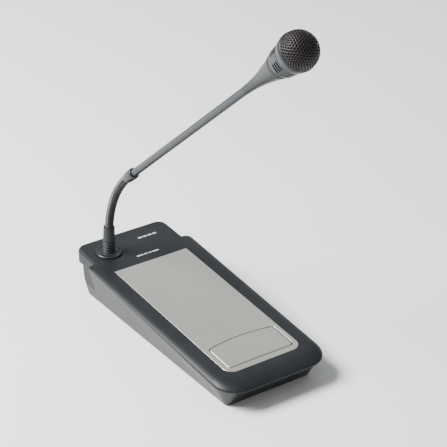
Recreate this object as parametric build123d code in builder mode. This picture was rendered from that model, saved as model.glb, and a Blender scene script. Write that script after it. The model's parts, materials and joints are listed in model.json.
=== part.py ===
"""Gooseneck desk call station: wedge base, push-to-talk key and flexible microphone stem.

Frame: millimetres, +Z up, +X to the talker's right, +Y to the rear.
The origin is the centre of the object's outline on the desk.
"""
from build123d import *
import math
import os

# ---------------------------------------------------------------- driving sizes
BASE_WIDTH = 100.0
BASE_LENGTH = 235.0
FRONT_HEIGHT = 24.3
REAR_HEIGHT = 40.75
REAR_Y = 137.2
FOOT_PROUD = 0.8

SHOULDER_SETBACK = 31.5
HOOD_WIDTH = 87.0
HOOD_DEPTH_UNDER_TOP = 9.0
COVER_WALL = 3.0
COVER_RIM = 6.0
COVER_PLUG_INSET = 4.6
COVER_FRONT_RADIUS = 20.0
COVER_REAR_RADIUS = 8.5
SHOULDER_RADIUS = 6.0
SHOULDER_FILLET = 3.0
COVER_EDGE_FRONT = 5.4
COVER_EDGE_REAR = 1.2
NOSE_LENGTH = 19.0
NOSE_DROP = 3.6
ROLL_WIDTH = 5.0
ROLL_DROP = 0.8

HOUSING_WALL = 2.5
HOUSING_FOOT_WIDTH = 80.0
HOUSING_TOP_SETBACK = 4.0
HOUSING_FOOT_SETBACK = 15.2
HOUSING_REAR_SETBACK = 12.0
HOUSING_FOOT_RADIUS = 4.0
HOUSING_TOP_RADIUS = 16.0
SEAM_GAP = 0.3
SIDE_LIP = 0.6

PANEL_WIDTH = 70.5
PANEL_FRONT = 19.5
PANEL_LENGTH = 165.0
PANEL_THICKNESS = 1.4
PANEL_PROUD = 0.2
PANEL_FRONT_RADIUS = 9.0
PANEL_FIT = 0.15
PANEL_REAR_RADIUS = 0.4
PANEL_EDGE = 0.15

KEY_WIDTH = 61.0
KEY_FRONT = 26.0
KEY_LENGTH = 31.0
KEY_THICKNESS = 2.4
KEY_RADIUS = 3.0
KEY_EDGE = 1.0
KEY_GAP = 0.9
KEY_SEAM = 0.35
KEY_PIN_RADIUS = 1.0
KEY_PIN_DEPTH = 4.6
KEY_PIN_INSET = 3.0
KEY_LUG_WIDTH = 5.0
KEY_LUG_X = 20.0
RUNNING_FIT = 0.05
SWITCH_AHEAD_OF_PIN = 16.0
SWITCH_SIZE = 6.2
SWITCH_HEIGHT = 3.5
PLUNGER_RADIUS = 1.7
PLUNGER_STAND = 1.6
PLUNGER_GAP = 0.1
KEY_STEM_LENGTH = 2.6
SPRING_RADIUS = 2.6
SPRING_WIRE_RADIUS = 0.4
SPRING_TURNS = 4
SPRING_X = 12.0

BOARD_THICKNESS = 1.6
BOARD_WIDTH = 76.0
BOARD_FRONT = 27.0
BOARD_LENGTH = 120.0
BOARD_BOSS_RADIUS = 2.8
BOARD_SCREW_RADIUS = 1.2

BALLAST_WIDTH = 62.0
BALLAST_FRONT = 34.0
BALLAST_LENGTH = 140.0
BALLAST_THICKNESS = 6.0
BALLAST_SCREW_RADIUS = 1.6
SCREW_FIT = 0.05
CASE_BOSS_RADIUS = 3.4
CASE_SCREW_RADIUS = 1.5
CASE_SCREW_HEAD = 2.8
CASE_SCREW_X = 33.4
FOOT_RADIUS = 6.0
FOOT_POCKET = 1.2

SOCKET_X = 16.0
SOCKET_WIDTH = 16.0
SOCKET_HEIGHT = 13.4
SOCKET_LENGTH = 18.0
SOCKET_CAVITY_WIDTH = 11.8
SOCKET_CAVITY_HEIGHT = 7.6
SOCKET_CAVITY_DEPTH = 13.0
SOCKET_BOARD_WIDTH = 30.0
SOCKET_BOARD_LENGTH = 24.0
SOCKET_BOARD_HEIGHT = 10.4
CONTACT_COUNT = 8
CONTACT_PITCH = 1.02

NECK_X = -23.6
NECK_FROM_FRONT = 212.26
NECK_HEADING = 2.94
NECK_STRAIGHT = 20.3
NECK_BEND_RADIUS = 93.4
NECK_BEND_ANGLE = 45.27
FLEX_RADIUS = 3.4
JOINT_FIRST = 29.5
JOINT_LAST = 84.0
JOINT_COUNT = 4
BALL_RADIUS = 2.3
CUP_MOUTH_ANGLE = 60.0
BALL_NECK_RADIUS = 1.1
WIRE_BORE_RADIUS = 0.6
LINK_SHOULDER = 2.9

THREAD_RADIUS = 4.0
THREAD_LENGTH = 13.0
ROSETTE_RADIUS = 11.5
ROSETTE_HEIGHT = 1.8
NUT_ACROSS_FLATS = 11.0
NUT_HEIGHT = 4.0
WASHER_RADIUS = 6.0
WASHER_THICKNESS = 1.0
SLEEVE_TOP = 25.4
SLEEVE_FOOT_RADIUS = 5.55
SLEEVE_TOP_RADIUS = 4.65
PART_FIT = 0.05

FERRULE_START = 90.5
FERRULE_END = 104.5
FERRULE_START_RADIUS = 4.4
FERRULE_END_RADIUS = 4.75
STEM_START = 92.0
STEM_END = 303.0
STEM_RADIUS = 3.2
STEM_BORE_RADIUS = 2.4
FLARE_END = 344.6
HEAD_SEAL_WIDTH = 2.0
HEAD_SEAL_RADIUS = 11.2
BAND_END = 361.0
BAND_START_RADIUS = 11.5
BAND_END_RADIUS = 13.4
COLLAR_END = 368.0
COLLAR_RADIUS = 15.1
GRILLE_BULGE = 369.4
GRILLE_END = 382.8
GRILLE_RADIUS = 14.75
HEAD_WALL = 1.2
CAPSULE_RADIUS = 7.0
CAPSULE_LENGTH = 8.0
FOAM_GAP = 0.3

# ---------------------------------------------------------------- derived frames
FRONT_Y = REAR_Y - BASE_LENGTH
SHOULDER_Y = REAR_Y - SHOULDER_SETBACK
SLOPE = math.atan((REAR_HEIGHT - FRONT_HEIGHT) / BASE_LENGTH)
UP = Vector(0, -math.sin(SLOPE), math.cos(SLOPE))
ALONG = Vector(0, math.cos(SLOPE), math.sin(SLOPE))
ACROSS = Vector(1, 0, 0)
FRONT_TOP = Vector(0, FRONT_Y, FRONT_HEIGHT)
TOP_PLANE = Plane(origin=FRONT_TOP, x_dir=ACROSS, z_dir=UP)
INSIDE_TOP = TOP_PLANE.offset(-COVER_WALL)
SECTION_PLANE = Plane(origin=FRONT_TOP, x_dir=ACROSS, z_dir=-ALONG)

SEAM_FRONT_Z = FRONT_HEIGHT - COVER_EDGE_FRONT
SEAM_REAR_Z = REAR_HEIGHT - COVER_EDGE_REAR
SEAM_SLOPE = (SEAM_REAR_Z - SEAM_FRONT_Z) / BASE_LENGTH
HOOD_UNDERSIDE = REAR_HEIGHT - HOOD_DEPTH_UNDER_TOP - COVER_WALL
FLOOR_TOP = FOOT_PROUD + HOUSING_WALL
HOUSING_REAR_Y = REAR_Y - HOUSING_REAR_SETBACK
ALL_THROUGH = 2 * BASE_LENGTH
TALL = 3 * REAR_HEIGHT


def on_top(x, from_front, depth=0.0):
    """Point on the sloped top, from_front along the slope and depth below the surface."""
    return FRONT_TOP + ACROSS * x + ALONG * from_front - UP * depth


def top_height(y):
    """Height of the sloped top plane at y."""
    return FRONT_HEIGHT + (y - FRONT_Y) * math.tan(SLOPE)


def seam_height(y):
    """Height of the parting plane between the cover and the housing at y."""
    return SEAM_FRONT_Z + (y - FRONT_Y) * SEAM_SLOPE


def rounded_box(plane, x_half, y_front, y_rear, front_radius, rear_radius):
    """Rectangle with its own front and rear corner radii, symmetric about x = 0."""
    with BuildSketch(plane) as outline:
        with Locations((0, (y_front + y_rear) / 2)):
            Rectangle(2 * x_half, y_rear - y_front)
        fillet(outline.vertices().group_by(Axis.Y)[0], front_radius)
        fillet(outline.vertices().group_by(Axis.Y)[-1], rear_radius)
    return outline.sketch


def cover_outline(inset):
    """Plan of the cover: wide body, shoulders and narrower rear hood."""
    wide = BASE_WIDTH / 2 - inset
    hood = HOOD_WIDTH / 2 - inset
    shoulder = SHOULDER_Y - inset
    with BuildSketch(Plane.XY) as outline:
        with BuildLine():
            Polyline(
                (-wide, FRONT_Y + inset),
                (wide, FRONT_Y + inset),
                (wide, shoulder),
                (hood, shoulder),
                (hood, REAR_Y - inset),
                (-hood, REAR_Y - inset),
                (-hood, shoulder),
                (-wide, shoulder),
                close=True,
            )
        make_face()
        rows = outline.vertices().group_by(Axis.Y)
        step = rows[1].sort_by(Axis.X)
        fillet(rows[0], COVER_FRONT_RADIUS - inset)
        fillet([step[0], step[-1]], SHOULDER_RADIUS - inset)
        fillet(outline.vertices().filter_by(lambda v: abs(abs(v.X) - hood) < 0.01
               and abs(v.Y - shoulder) < 0.01), SHOULDER_FILLET)
        fillet(outline.vertices().group_by(Axis.Y)[-1], COVER_REAR_RADIUS - inset)
    return outline.sketch


def below_seam(gap):
    """Everything under the parting line, lowered by gap: sloped body and level hood step."""
    far_front = FRONT_Y - NOSE_LENGTH
    far_rear = REAR_Y + NOSE_LENGTH
    with BuildPart() as under:
        with BuildSketch(Plane.YZ):
            with BuildLine():
                Polyline(
                    (far_front, -TALL),
                    (far_front, seam_height(far_front) - gap),
                    (SHOULDER_Y - gap, seam_height(SHOULDER_Y) - gap),
                    (SHOULDER_Y - gap, HOOD_UNDERSIDE - gap),
                    (far_rear, HOOD_UNDERSIDE - gap),
                    (far_rear, -TALL),
                    close=True,
                )
            make_face()
        extrude(amount=BASE_WIDTH, both=True)
    return under.part


def key_outline(plane, grow_front, grow_rear):
    """Key outline on a plane parallel to the top: straight front, slightly arched rear."""
    x_half = KEY_WIDTH / 2 + grow_front
    front = KEY_FRONT - grow_front
    rear = KEY_FRONT + KEY_LENGTH + grow_rear
    arch = KEY_LENGTH / 9
    with BuildSketch(plane) as outline:
        with BuildLine():
            Polyline((-x_half, rear - arch), (-x_half, front), (x_half, front), (x_half, rear - arch))
            ThreePointArc((x_half, rear - arch), (0, rear), (-x_half, rear - arch))
        make_face()
        fillet(outline.vertices().group_by(Axis.Y)[0], KEY_RADIUS + grow_front)
        fillet(outline.vertices().group_by(Axis.Y)[-1], KEY_RADIUS + grow_front)
    return outline.sketch


def save(part, name):
    """Label one finished piece and write it to its own file."""
    part.label = name
    export_step(part, f"parts/{name}.step")


os.makedirs("parts", exist_ok=True)

# ---------------------------------------------------------------- places that several pieces share
KEY_PIN_FROM_FRONT = KEY_FRONT + KEY_LENGTH - KEY_PIN_INSET
KEY_PIN_CENTRE = on_top(0, KEY_PIN_FROM_FRONT, KEY_PIN_DEPTH)
KEY_TOP_DEPTH = -PANEL_PROUD
KEY_UNDERSIDE = KEY_TOP_DEPTH + KEY_THICKNESS
KEY_STEM_TIP = KEY_UNDERSIDE + KEY_STEM_LENGTH
PLUNGER_TOP = KEY_STEM_TIP + PLUNGER_GAP
SWITCH_TOP = PLUNGER_TOP + PLUNGER_STAND
BOARD_TOP = SWITCH_TOP + SWITCH_HEIGHT
SWITCH_FROM_FRONT = KEY_PIN_FROM_FRONT - SWITCH_AHEAD_OF_PIN
BOARD_PLANE = TOP_PLANE.offset(-BOARD_TOP)
BOARD_SCREW_X = KEY_WIDTH / 2 + 2 * KEY_GAP + BOARD_BOSS_RADIUS
BOARD_SCREW_REACH = BOARD_LENGTH / 2 - BOARD_BOSS_RADIUS - SEAM_GAP
BOARD_MIDDLE = BOARD_FRONT + BOARD_LENGTH / 2
BOARD_SCREWS = [(x, BOARD_MIDDLE + y) for x in (-BOARD_SCREW_X, BOARD_SCREW_X)
                for y in (-BOARD_SCREW_REACH, BOARD_SCREW_REACH)]
CASE_SCREW_FRONT = FRONT_Y + HOUSING_FOOT_SETBACK + HOUSING_WALL + CASE_BOSS_RADIUS + SEAM_GAP
CASE_SCREW_REAR = SHOULDER_Y - 3 * CASE_BOSS_RADIUS
CASE_SCREWS = [(x, y) for x in (-CASE_SCREW_X, CASE_SCREW_X) for y in (CASE_SCREW_FRONT, CASE_SCREW_REAR)]
FEET = [(x * (HOUSING_FOOT_WIDTH / 2 - 2 * FOOT_RADIUS), y)
        for x in (-1, 1)
        for y in (CASE_SCREW_FRONT + 3 * FOOT_RADIUS, HOUSING_REAR_Y - 2 * FOOT_RADIUS)]
BALLAST_Y = FRONT_Y + BALLAST_FRONT + BALLAST_LENGTH / 2
BALLAST_SCREWS = [(0, BALLAST_Y - BALLAST_LENGTH / 3), (0, BALLAST_Y + BALLAST_LENGTH / 3)]
BALLAST_TOP = FLOOR_TOP + BALLAST_THICKNESS

# neck curve: straight out of the top, then one arc, then straight to the microphone head
NECK_BASE = on_top(NECK_X, NECK_FROM_FRONT / math.cos(SLOPE))
HEADING = math.radians(NECK_HEADING)
FORWARD = Vector(math.sin(HEADING), -math.cos(HEADING), 0)
BEND_DIR = (FORWARD - UP * FORWARD.dot(UP)).normalized()
BEND_AXIS = UP.cross(BEND_DIR)
BEND_TOTAL = math.radians(NECK_BEND_ANGLE)
ARC_LENGTH = NECK_BEND_RADIUS * BEND_TOTAL


def neck_direction(s):
    """Unit direction of the neck at the length s from the top surface."""
    turn = min(max(s - NECK_STRAIGHT, 0) / NECK_BEND_RADIUS, BEND_TOTAL)
    return UP * math.cos(turn) + BEND_DIR * math.sin(turn)


def neck_point(s):
    """Point on the neck's centre line at the length s from the top surface."""
    if s <= NECK_STRAIGHT:
        return NECK_BASE + UP * s
    turn = min((s - NECK_STRAIGHT) / NECK_BEND_RADIUS, BEND_TOTAL)
    bend = UP * math.sin(turn) + BEND_DIR * (1 - math.cos(turn))
    rest = max(s - NECK_STRAIGHT - ARC_LENGTH, 0)
    return NECK_BASE + UP * NECK_STRAIGHT + bend * NECK_BEND_RADIUS + neck_direction(s) * rest


def axial_plane(start, direction):
    """Plane for a profile of (radius, length) about the line from start along direction."""
    return Plane(origin=start, x_dir=BEND_AXIS, z_dir=BEND_AXIS.cross(direction))


def turned(start, direction, points):
    """Solid of revolution about the line from start, from (radius, length) points."""
    with BuildPart() as lathe:
        with BuildSketch(axial_plane(start, direction)):
            with BuildLine():
                Polyline(*points, close=True)
            make_face()
        revolve(axis=Axis(start, direction))
    return lathe.part


HEAD_AXIS = neck_direction(STEM_END)


def head_turned(points):
    """Solid of revolution on the straight stem's axis, from (radius, neck length) points."""
    start = neck_point(STEM_START)
    return turned(start, HEAD_AXIS, [(r, s - STEM_START) for r, s in points])


# ---------------------------------------------------------------- top cover
with BuildPart() as cover_space:
    extrude(cover_outline(COVER_RIM), amount=TALL)
    with BuildSketch(Plane.XY):
        with Locations((0, REAR_Y - COVER_WALL)):
            Rectangle(HOOD_WIDTH - 2 * COVER_WALL, SHOULDER_SETBACK - COVER_WALL, align=(Align.CENTER, Align.MAX))
    extrude(amount=TALL)
    split(bisect_by=INSIDE_TOP, keep=Keep.BOTTOM)

with BuildPart() as cover_plug:
    extrude(cover_outline(COVER_PLUG_INSET), amount=TALL)
    split(bisect_by=TOP_PLANE.offset(-ROLL_DROP), keep=Keep.BOTTOM)
    split(bisect_by=INSIDE_TOP, keep=Keep.TOP)

with BuildPart() as nose_cut:
    with BuildSketch(Plane.YZ):
        nose_y = FRONT_Y + NOSE_LENGTH
        with BuildLine():
            nose = TangentArc((nose_y, top_height(nose_y)), (FRONT_Y, FRONT_HEIGHT - NOSE_DROP),
                              tangent=(-math.cos(SLOPE), -math.sin(SLOPE)))
            Polyline(nose @ 1, (FRONT_Y - NOSE_LENGTH, FRONT_HEIGHT - NOSE_DROP),
                     (FRONT_Y - NOSE_LENGTH, TALL), (nose_y, TALL), nose @ 0)
        make_face()
    extrude(amount=BASE_WIDTH, both=True)

with BuildPart() as roll_cut:
    with BuildSketch(SECTION_PLANE):
        edge = BASE_WIDTH / 2
        with BuildLine():
            roll = TangentArc((edge - ROLL_WIDTH, 0), (edge, -ROLL_DROP), tangent=(1, 0))
            Polyline(roll @ 1, (edge + ROLL_WIDTH, -ROLL_DROP), (edge + ROLL_WIDTH, TALL),
                     (edge - ROLL_WIDTH, TALL), roll @ 0)
        make_face()
    extrude(amount=ALL_THROUGH, both=True)
    mirror(about=Plane.YZ)

with BuildPart() as case_bosses:
    with BuildSketch(Plane.XY.offset(FLOOR_TOP + PART_FIT)):
        with Locations(*CASE_SCREWS):
            Circle(CASE_BOSS_RADIUS)
    extrude(amount=TALL)
    split(bisect_by=TOP_PLANE.offset(-(COVER_WALL + PANEL_THICKNESS) / 2), keep=Keep.BOTTOM)

with BuildPart() as top_cover:
    extrude(cover_outline(0), amount=TALL)
    split(bisect_by=TOP_PLANE, keep=Keep.BOTTOM)
    add(below_seam(0), mode=Mode.SUBTRACT)
    add(cover_plug.part)
    add(nose_cut.part, mode=Mode.SUBTRACT)
    add(roll_cut.part, mode=Mode.SUBTRACT)
    add(cover_space.part, mode=Mode.SUBTRACT)
    # bosses for the case screws, the board screws and the key pin's two ears
    add(case_bosses.part)
    with BuildSketch(BOARD_PLANE.offset(PART_FIT)):
        with Locations(*BOARD_SCREWS):
            Circle(BOARD_BOSS_RADIUS)
    extrude(amount=BOARD_TOP - (COVER_WALL + PANEL_THICKNESS) / 2)
    ear_x = KEY_LUG_X + KEY_LUG_WIDTH + RUNNING_FIT * 4
    ear_reach = KEY_PIN_DEPTH + 2 * KEY_PIN_RADIUS
    with BuildSketch(TOP_PLANE.offset(-ear_reach)):
        with Locations((-ear_x, KEY_PIN_FROM_FRONT + 2 * KEY_PIN_RADIUS),
                       (ear_x, KEY_PIN_FROM_FRONT + 2 * KEY_PIN_RADIUS)):
            Rectangle(KEY_LUG_WIDTH, 8 * KEY_PIN_RADIUS)
    extrude(amount=ear_reach - (COVER_WALL + PANEL_THICKNESS) / 2)
    # panel recess, key opening and neck hole
    extrude(rounded_box(TOP_PLANE.offset(PANEL_PROUD - PANEL_THICKNESS), PANEL_WIDTH / 2 + PANEL_FIT,
                        PANEL_FRONT - PANEL_FIT, PANEL_FRONT + PANEL_LENGTH + PANEL_FIT, PANEL_FRONT_RADIUS,
                        PANEL_REAR_RADIUS),
            amount=COVER_WALL, mode=Mode.SUBTRACT)
    extrude(key_outline(TOP_PLANE, KEY_GAP, KEY_GAP), amount=-COVER_WALL - SEAM_GAP, mode=Mode.SUBTRACT)
    with BuildSketch(TOP_PLANE):
        with Locations((-KEY_LUG_X, KEY_PIN_FROM_FRONT), (KEY_LUG_X, KEY_PIN_FROM_FRONT)):
            Rectangle(KEY_LUG_WIDTH + 8 * RUNNING_FIT, 8 * KEY_PIN_RADIUS)
    extrude(amount=-(KEY_PIN_DEPTH + 4 * KEY_PIN_RADIUS), mode=Mode.SUBTRACT)
    with Locations(Plane(origin=NECK_BASE, x_dir=ACROSS, z_dir=UP)):
        Hole(THREAD_RADIUS + 2 * PART_FIT, depth=2 * COVER_WALL)
    with Locations(*[(x, y, FLOOR_TOP) for x, y in CASE_SCREWS]):
        Cylinder(CASE_SCREW_RADIUS + SCREW_FIT, 2 * CASE_SCREW_RADIUS + 4 * HOUSING_WALL,
                 mode=Mode.SUBTRACT)
    with Locations(*[Plane(origin=on_top(x, y, BOARD_TOP), x_dir=ACROSS, z_dir=UP) for x, y in BOARD_SCREWS]):
        Cylinder(BOARD_SCREW_RADIUS + SCREW_FIT, 8 * BOARD_SCREW_RADIUS, mode=Mode.SUBTRACT)
    with Locations(Plane(origin=KEY_PIN_CENTRE, x_dir=ALONG, z_dir=ACROSS)):
        Cylinder(KEY_PIN_RADIUS + SCREW_FIT / 5, BASE_WIDTH - 4 * COVER_WALL, mode=Mode.SUBTRACT)
save(top_cover.part, "top_cover")

# ---------------------------------------------------------------- lower housing
SEAM_PLANE = Plane(origin=(0, FRONT_Y, SEAM_FRONT_Z), x_dir=ACROSS,
                   z_dir=(0, -math.sin(math.atan(SEAM_SLOPE)), math.cos(math.atan(SEAM_SLOPE))))
SEAM_STRETCH = 1 / math.cos(math.atan(SEAM_SLOPE))


def housing_block(inset, floor_height):
    """Tapered tub between the foot outline and the parting plane, its walls moved in by inset."""
    foot = rounded_box(
        Plane.XY.offset(floor_height),
        HOUSING_FOOT_WIDTH / 2 - inset,
        FRONT_Y + HOUSING_FOOT_SETBACK + inset,
        HOUSING_REAR_Y - inset,
        max(HOUSING_FOOT_RADIUS - inset, HOUSING_FOOT_RADIUS / 4),
        max(HOUSING_FOOT_RADIUS - inset, HOUSING_FOOT_RADIUS / 4),
    )
    rim = rounded_box(
        SEAM_PLANE,
        BASE_WIDTH / 2 - SIDE_LIP - inset,
        (HOUSING_TOP_SETBACK + inset) * SEAM_STRETCH,
        (HOUSING_REAR_Y - FRONT_Y - inset) * SEAM_STRETCH,
        HOUSING_TOP_RADIUS - inset,
        max(HOUSING_FOOT_RADIUS - inset, HOUSING_FOOT_RADIUS / 4),
    )
    with BuildPart() as block:
        loft(sections=[foot.face(), rim.face()], ruled=True)
        # the rear corners step in under the hood
        hood_x = HOOD_WIDTH / 2 - SIDE_LIP - inset
        with BuildSketch(Plane.XY):
            with Locations((hood_x + BASE_WIDTH / 2, SHOULDER_Y - inset + BASE_LENGTH / 2),
                           (-hood_x - BASE_WIDTH / 2, SHOULDER_Y - inset + BASE_LENGTH / 2)):
                Rectangle(BASE_WIDTH, BASE_LENGTH)
        extrude(amount=TALL, mode=Mode.SUBTRACT)
    return block.part


with BuildPart() as lower_housing:
    add(housing_block(0, FOOT_PROUD))
    add(housing_block(HOUSING_WALL, FLOOR_TOP), mode=Mode.SUBTRACT)
    with BuildSketch(Plane.YZ):
        with BuildLine():
            Polyline(
                (FRONT_Y - NOSE_LENGTH, seam_height(FRONT_Y - NOSE_LENGTH) - SEAM_GAP),
                (SHOULDER_Y - SEAM_GAP, seam_height(SHOULDER_Y) - SEAM_GAP),
                (SHOULDER_Y - SEAM_GAP, HOOD_UNDERSIDE - SEAM_GAP),
                (REAR_Y, HOOD_UNDERSIDE - SEAM_GAP),
                (REAR_Y, TALL),
                (FRONT_Y - NOSE_LENGTH, TALL),
                close=True,
            )
        make_face()
    extrude(amount=BASE_WIDTH, both=True, mode=Mode.SUBTRACT)
    # posts for the socket board
    socket_board_y = HOUSING_REAR_Y - HOUSING_WALL - SOCKET_BOARD_LENGTH / 2 - PART_FIT
    socket_posts = [(SOCKET_X - SOCKET_BOARD_WIDTH / 2 + BOARD_BOSS_RADIUS, socket_board_y - SOCKET_BOARD_LENGTH / 4),
                    (SOCKET_X + SOCKET_BOARD_WIDTH / 2 - BOARD_BOSS_RADIUS, socket_board_y - SOCKET_BOARD_LENGTH / 4)]
    with BuildSketch(Plane.XY.offset(FLOOR_TOP)):
        with Locations(*socket_posts):
            Circle(BOARD_BOSS_RADIUS)
    extrude(amount=SOCKET_BOARD_HEIGHT - FLOOR_TOP - PART_FIT)
    # screw holes with countersunk seats, foot pockets and ballast screw holes
    with Locations(*[Plane(origin=(x, y, FOOT_PROUD), z_dir=(0, 0, -1)) for x, y in CASE_SCREWS]):
        CounterBoreHole(CASE_SCREW_RADIUS + 2 * SCREW_FIT, CASE_SCREW_HEAD + 2 * SCREW_FIT,
                        HOUSING_WALL / 2, depth=2 * HOUSING_WALL)
    with Locations(*[(x, y, FOOT_PROUD) for x, y in FEET]):
        Cylinder(FOOT_RADIUS + SCREW_FIT, 2 * FOOT_POCKET, mode=Mode.SUBTRACT)
    with Locations(*[(x, y, FLOOR_TOP) for x, y in BALLAST_SCREWS]):
        Cylinder(BALLAST_SCREW_RADIUS + SCREW_FIT, HOUSING_WALL, mode=Mode.SUBTRACT)
    with Locations(*[(x, y, SOCKET_BOARD_HEIGHT) for x, y in socket_posts]):
        Cylinder(BOARD_SCREW_RADIUS + SCREW_FIT, 8 * BOARD_SCREW_RADIUS, mode=Mode.SUBTRACT)
    # opening for the socket in the rear wall
    socket_z = SOCKET_BOARD_HEIGHT + BOARD_THICKNESS + SOCKET_HEIGHT / 2
    with Locations((SOCKET_X, HOUSING_REAR_Y, socket_z)):
        Box(SOCKET_WIDTH + 2 * PART_FIT, 4 * HOUSING_WALL, SOCKET_HEIGHT + 2 * PART_FIT, mode=Mode.SUBTRACT)
save(lower_housing.part, "lower_housing")

# ---------------------------------------------------------------- ballast, feet and case screws
with BuildPart() as ballast:
    with BuildSketch(Plane.XY.offset(FLOOR_TOP)):
        with Locations((0, BALLAST_Y)):
            RectangleRounded(BALLAST_WIDTH, BALLAST_LENGTH, HOUSING_FOOT_RADIUS)
        with Locations(*BALLAST_SCREWS):
            Circle(BALLAST_SCREW_RADIUS + 2 * SCREW_FIT, mode=Mode.SUBTRACT)
        with Locations(*CASE_SCREWS):
            Circle(CASE_BOSS_RADIUS + 4 * SCREW_FIT, mode=Mode.SUBTRACT)
    extrude(amount=BALLAST_THICKNESS)
save(ballast.part, "ballast_plate")

with BuildPart() as ballast_screws:
    with Locations(*[(x, y, BALLAST_TOP) for x, y in BALLAST_SCREWS]):
        Cylinder(2 * BALLAST_SCREW_RADIUS, BALLAST_SCREW_RADIUS, align=(Align.CENTER, Align.CENTER, Align.MIN))
    with Locations(*[(x, y, BALLAST_TOP) for x, y in BALLAST_SCREWS]):
        Cylinder(BALLAST_SCREW_RADIUS, BALLAST_THICKNESS + HOUSING_WALL / 2 - SCREW_FIT,
                 align=(Align.CENTER, Align.CENTER, Align.MAX))
save(ballast_screws.part, "ballast_screws")

with BuildPart() as rubber_feet:
    with Locations(*[(x, y, 0) for x, y in FEET]):
        Cylinder(FOOT_RADIUS, FOOT_PROUD + FOOT_POCKET, align=(Align.CENTER, Align.CENTER, Align.MIN))
    fillet(rubber_feet.edges().group_by(Axis.Z)[0], FOOT_PROUD / 3)
save(rubber_feet.part, "rubber_feet")

with BuildPart() as case_screws:
    case_screw_tip = FLOOR_TOP + CASE_SCREW_RADIUS + HOUSING_WALL
    with Locations(*[(x, y, FOOT_PROUD + HOUSING_WALL / 2) for x, y in CASE_SCREWS]):
        Cylinder(CASE_SCREW_HEAD, HOUSING_WALL / 2 - 2 * SCREW_FIT, align=(Align.CENTER, Align.CENTER, Align.MAX))
        Cylinder(CASE_SCREW_RADIUS, case_screw_tip - FOOT_PROUD - HOUSING_WALL / 2,
                 align=(Align.CENTER, Align.CENTER, Align.MIN))
save(case_screws.part, "case_screws")

# ---------------------------------------------------------------- panel and key
with BuildPart() as panel:
    extrude(rounded_box(TOP_PLANE.offset(PANEL_PROUD), PANEL_WIDTH / 2, PANEL_FRONT, PANEL_FRONT + PANEL_LENGTH,
                        PANEL_FRONT_RADIUS, PANEL_REAR_RADIUS), amount=-PANEL_THICKNESS)
    extrude(key_outline(TOP_PLANE.offset(PANEL_PROUD), KEY_GAP, KEY_SEAM), amount=-PANEL_THICKNESS,
            mode=Mode.SUBTRACT)
    chamfer(panel.faces().sort_by(Axis(FRONT_TOP, UP))[-1].edges(), PANEL_EDGE)
save(panel.part, "insert_panel")

with BuildPart() as key:
    extrude(key_outline(TOP_PLANE.offset(PANEL_PROUD), 0, 0), amount=-KEY_THICKNESS)
    fillet(key.faces().sort_by(Axis(FRONT_TOP, UP))[-1].edges(), KEY_EDGE)
    with BuildSketch(TOP_PLANE.offset(-KEY_UNDERSIDE)):
        with Locations((0, SWITCH_FROM_FRONT)):
            Circle(PLUNGER_RADIUS + SWITCH_SIZE / 8)
    extrude(amount=-KEY_STEM_LENGTH)
    with BuildSketch(TOP_PLANE.offset(-KEY_UNDERSIDE)):
        with Locations((-KEY_LUG_X, KEY_PIN_FROM_FRONT), (KEY_LUG_X, KEY_PIN_FROM_FRONT)):
            Rectangle(KEY_LUG_WIDTH, 4 * KEY_PIN_RADIUS)
    extrude(amount=-(KEY_PIN_DEPTH + 2 * KEY_PIN_RADIUS - KEY_UNDERSIDE))
    with Locations(Plane(origin=KEY_PIN_CENTRE, x_dir=ALONG, z_dir=ACROSS)):
        Cylinder(KEY_PIN_RADIUS + RUNNING_FIT, BASE_WIDTH, mode=Mode.SUBTRACT)
save(key.part, "ptt_key")

with BuildPart() as hinge_pin:
    with Locations(Plane(origin=KEY_PIN_CENTRE, x_dir=ALONG, z_dir=ACROSS)):
        Cylinder(KEY_PIN_RADIUS, 2 * (KEY_LUG_X + 2 * KEY_LUG_WIDTH - 2 * KEY_PIN_RADIUS))
save(hinge_pin.part, "key_hinge_pin")

# ---------------------------------------------------------------- boards, switch and spring
with BuildPart() as main_board:
    with BuildSketch(BOARD_PLANE):
        with Locations((0, BOARD_MIDDLE)):
            Rectangle(BOARD_WIDTH, BOARD_LENGTH)
        with Locations(*BOARD_SCREWS):
            Circle(BOARD_SCREW_RADIUS + 2 * SCREW_FIT, mode=Mode.SUBTRACT)
    extrude(amount=-BOARD_THICKNESS)
save(main_board.part, "main_board")

with BuildPart() as board_screws:
    with BuildSketch(BOARD_PLANE.offset(-BOARD_THICKNESS)):
        with Locations(*BOARD_SCREWS):
            Circle(2 * BOARD_SCREW_RADIUS)
    extrude(amount=-BOARD_SCREW_RADIUS)
    with BuildSketch(BOARD_PLANE.offset(-BOARD_THICKNESS)):
        with Locations(*BOARD_SCREWS):
            Circle(BOARD_SCREW_RADIUS)
    extrude(amount=BOARD_THICKNESS + 3 * BOARD_SCREW_RADIUS)
save(board_screws.part, "board_screws")

with BuildPart() as switch_body:
    with BuildSketch(BOARD_PLANE):
        with Locations((0, SWITCH_FROM_FRONT)):
            Rectangle(SWITCH_SIZE, SWITCH_SIZE)
    extrude(amount=SWITCH_HEIGHT)
    with BuildSketch(TOP_PLANE.offset(-SWITCH_TOP)):
        with Locations((0, SWITCH_FROM_FRONT)):
            Circle(PLUNGER_RADIUS + RUNNING_FIT)
    extrude(amount=PART_FIT - SWITCH_HEIGHT + BOARD_THICKNESS / 4, mode=Mode.SUBTRACT)
save(switch_body.part, "key_switch_body")

with BuildPart() as plunger:
    with BuildSketch(TOP_PLANE.offset(-PLUNGER_TOP)):
        with Locations((0, SWITCH_FROM_FRONT)):
            Circle(PLUNGER_RADIUS)
    extrude(amount=-(PLUNGER_STAND + SWITCH_HEIGHT / 2))
save(plunger.part, "key_switch_plunger")

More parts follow.
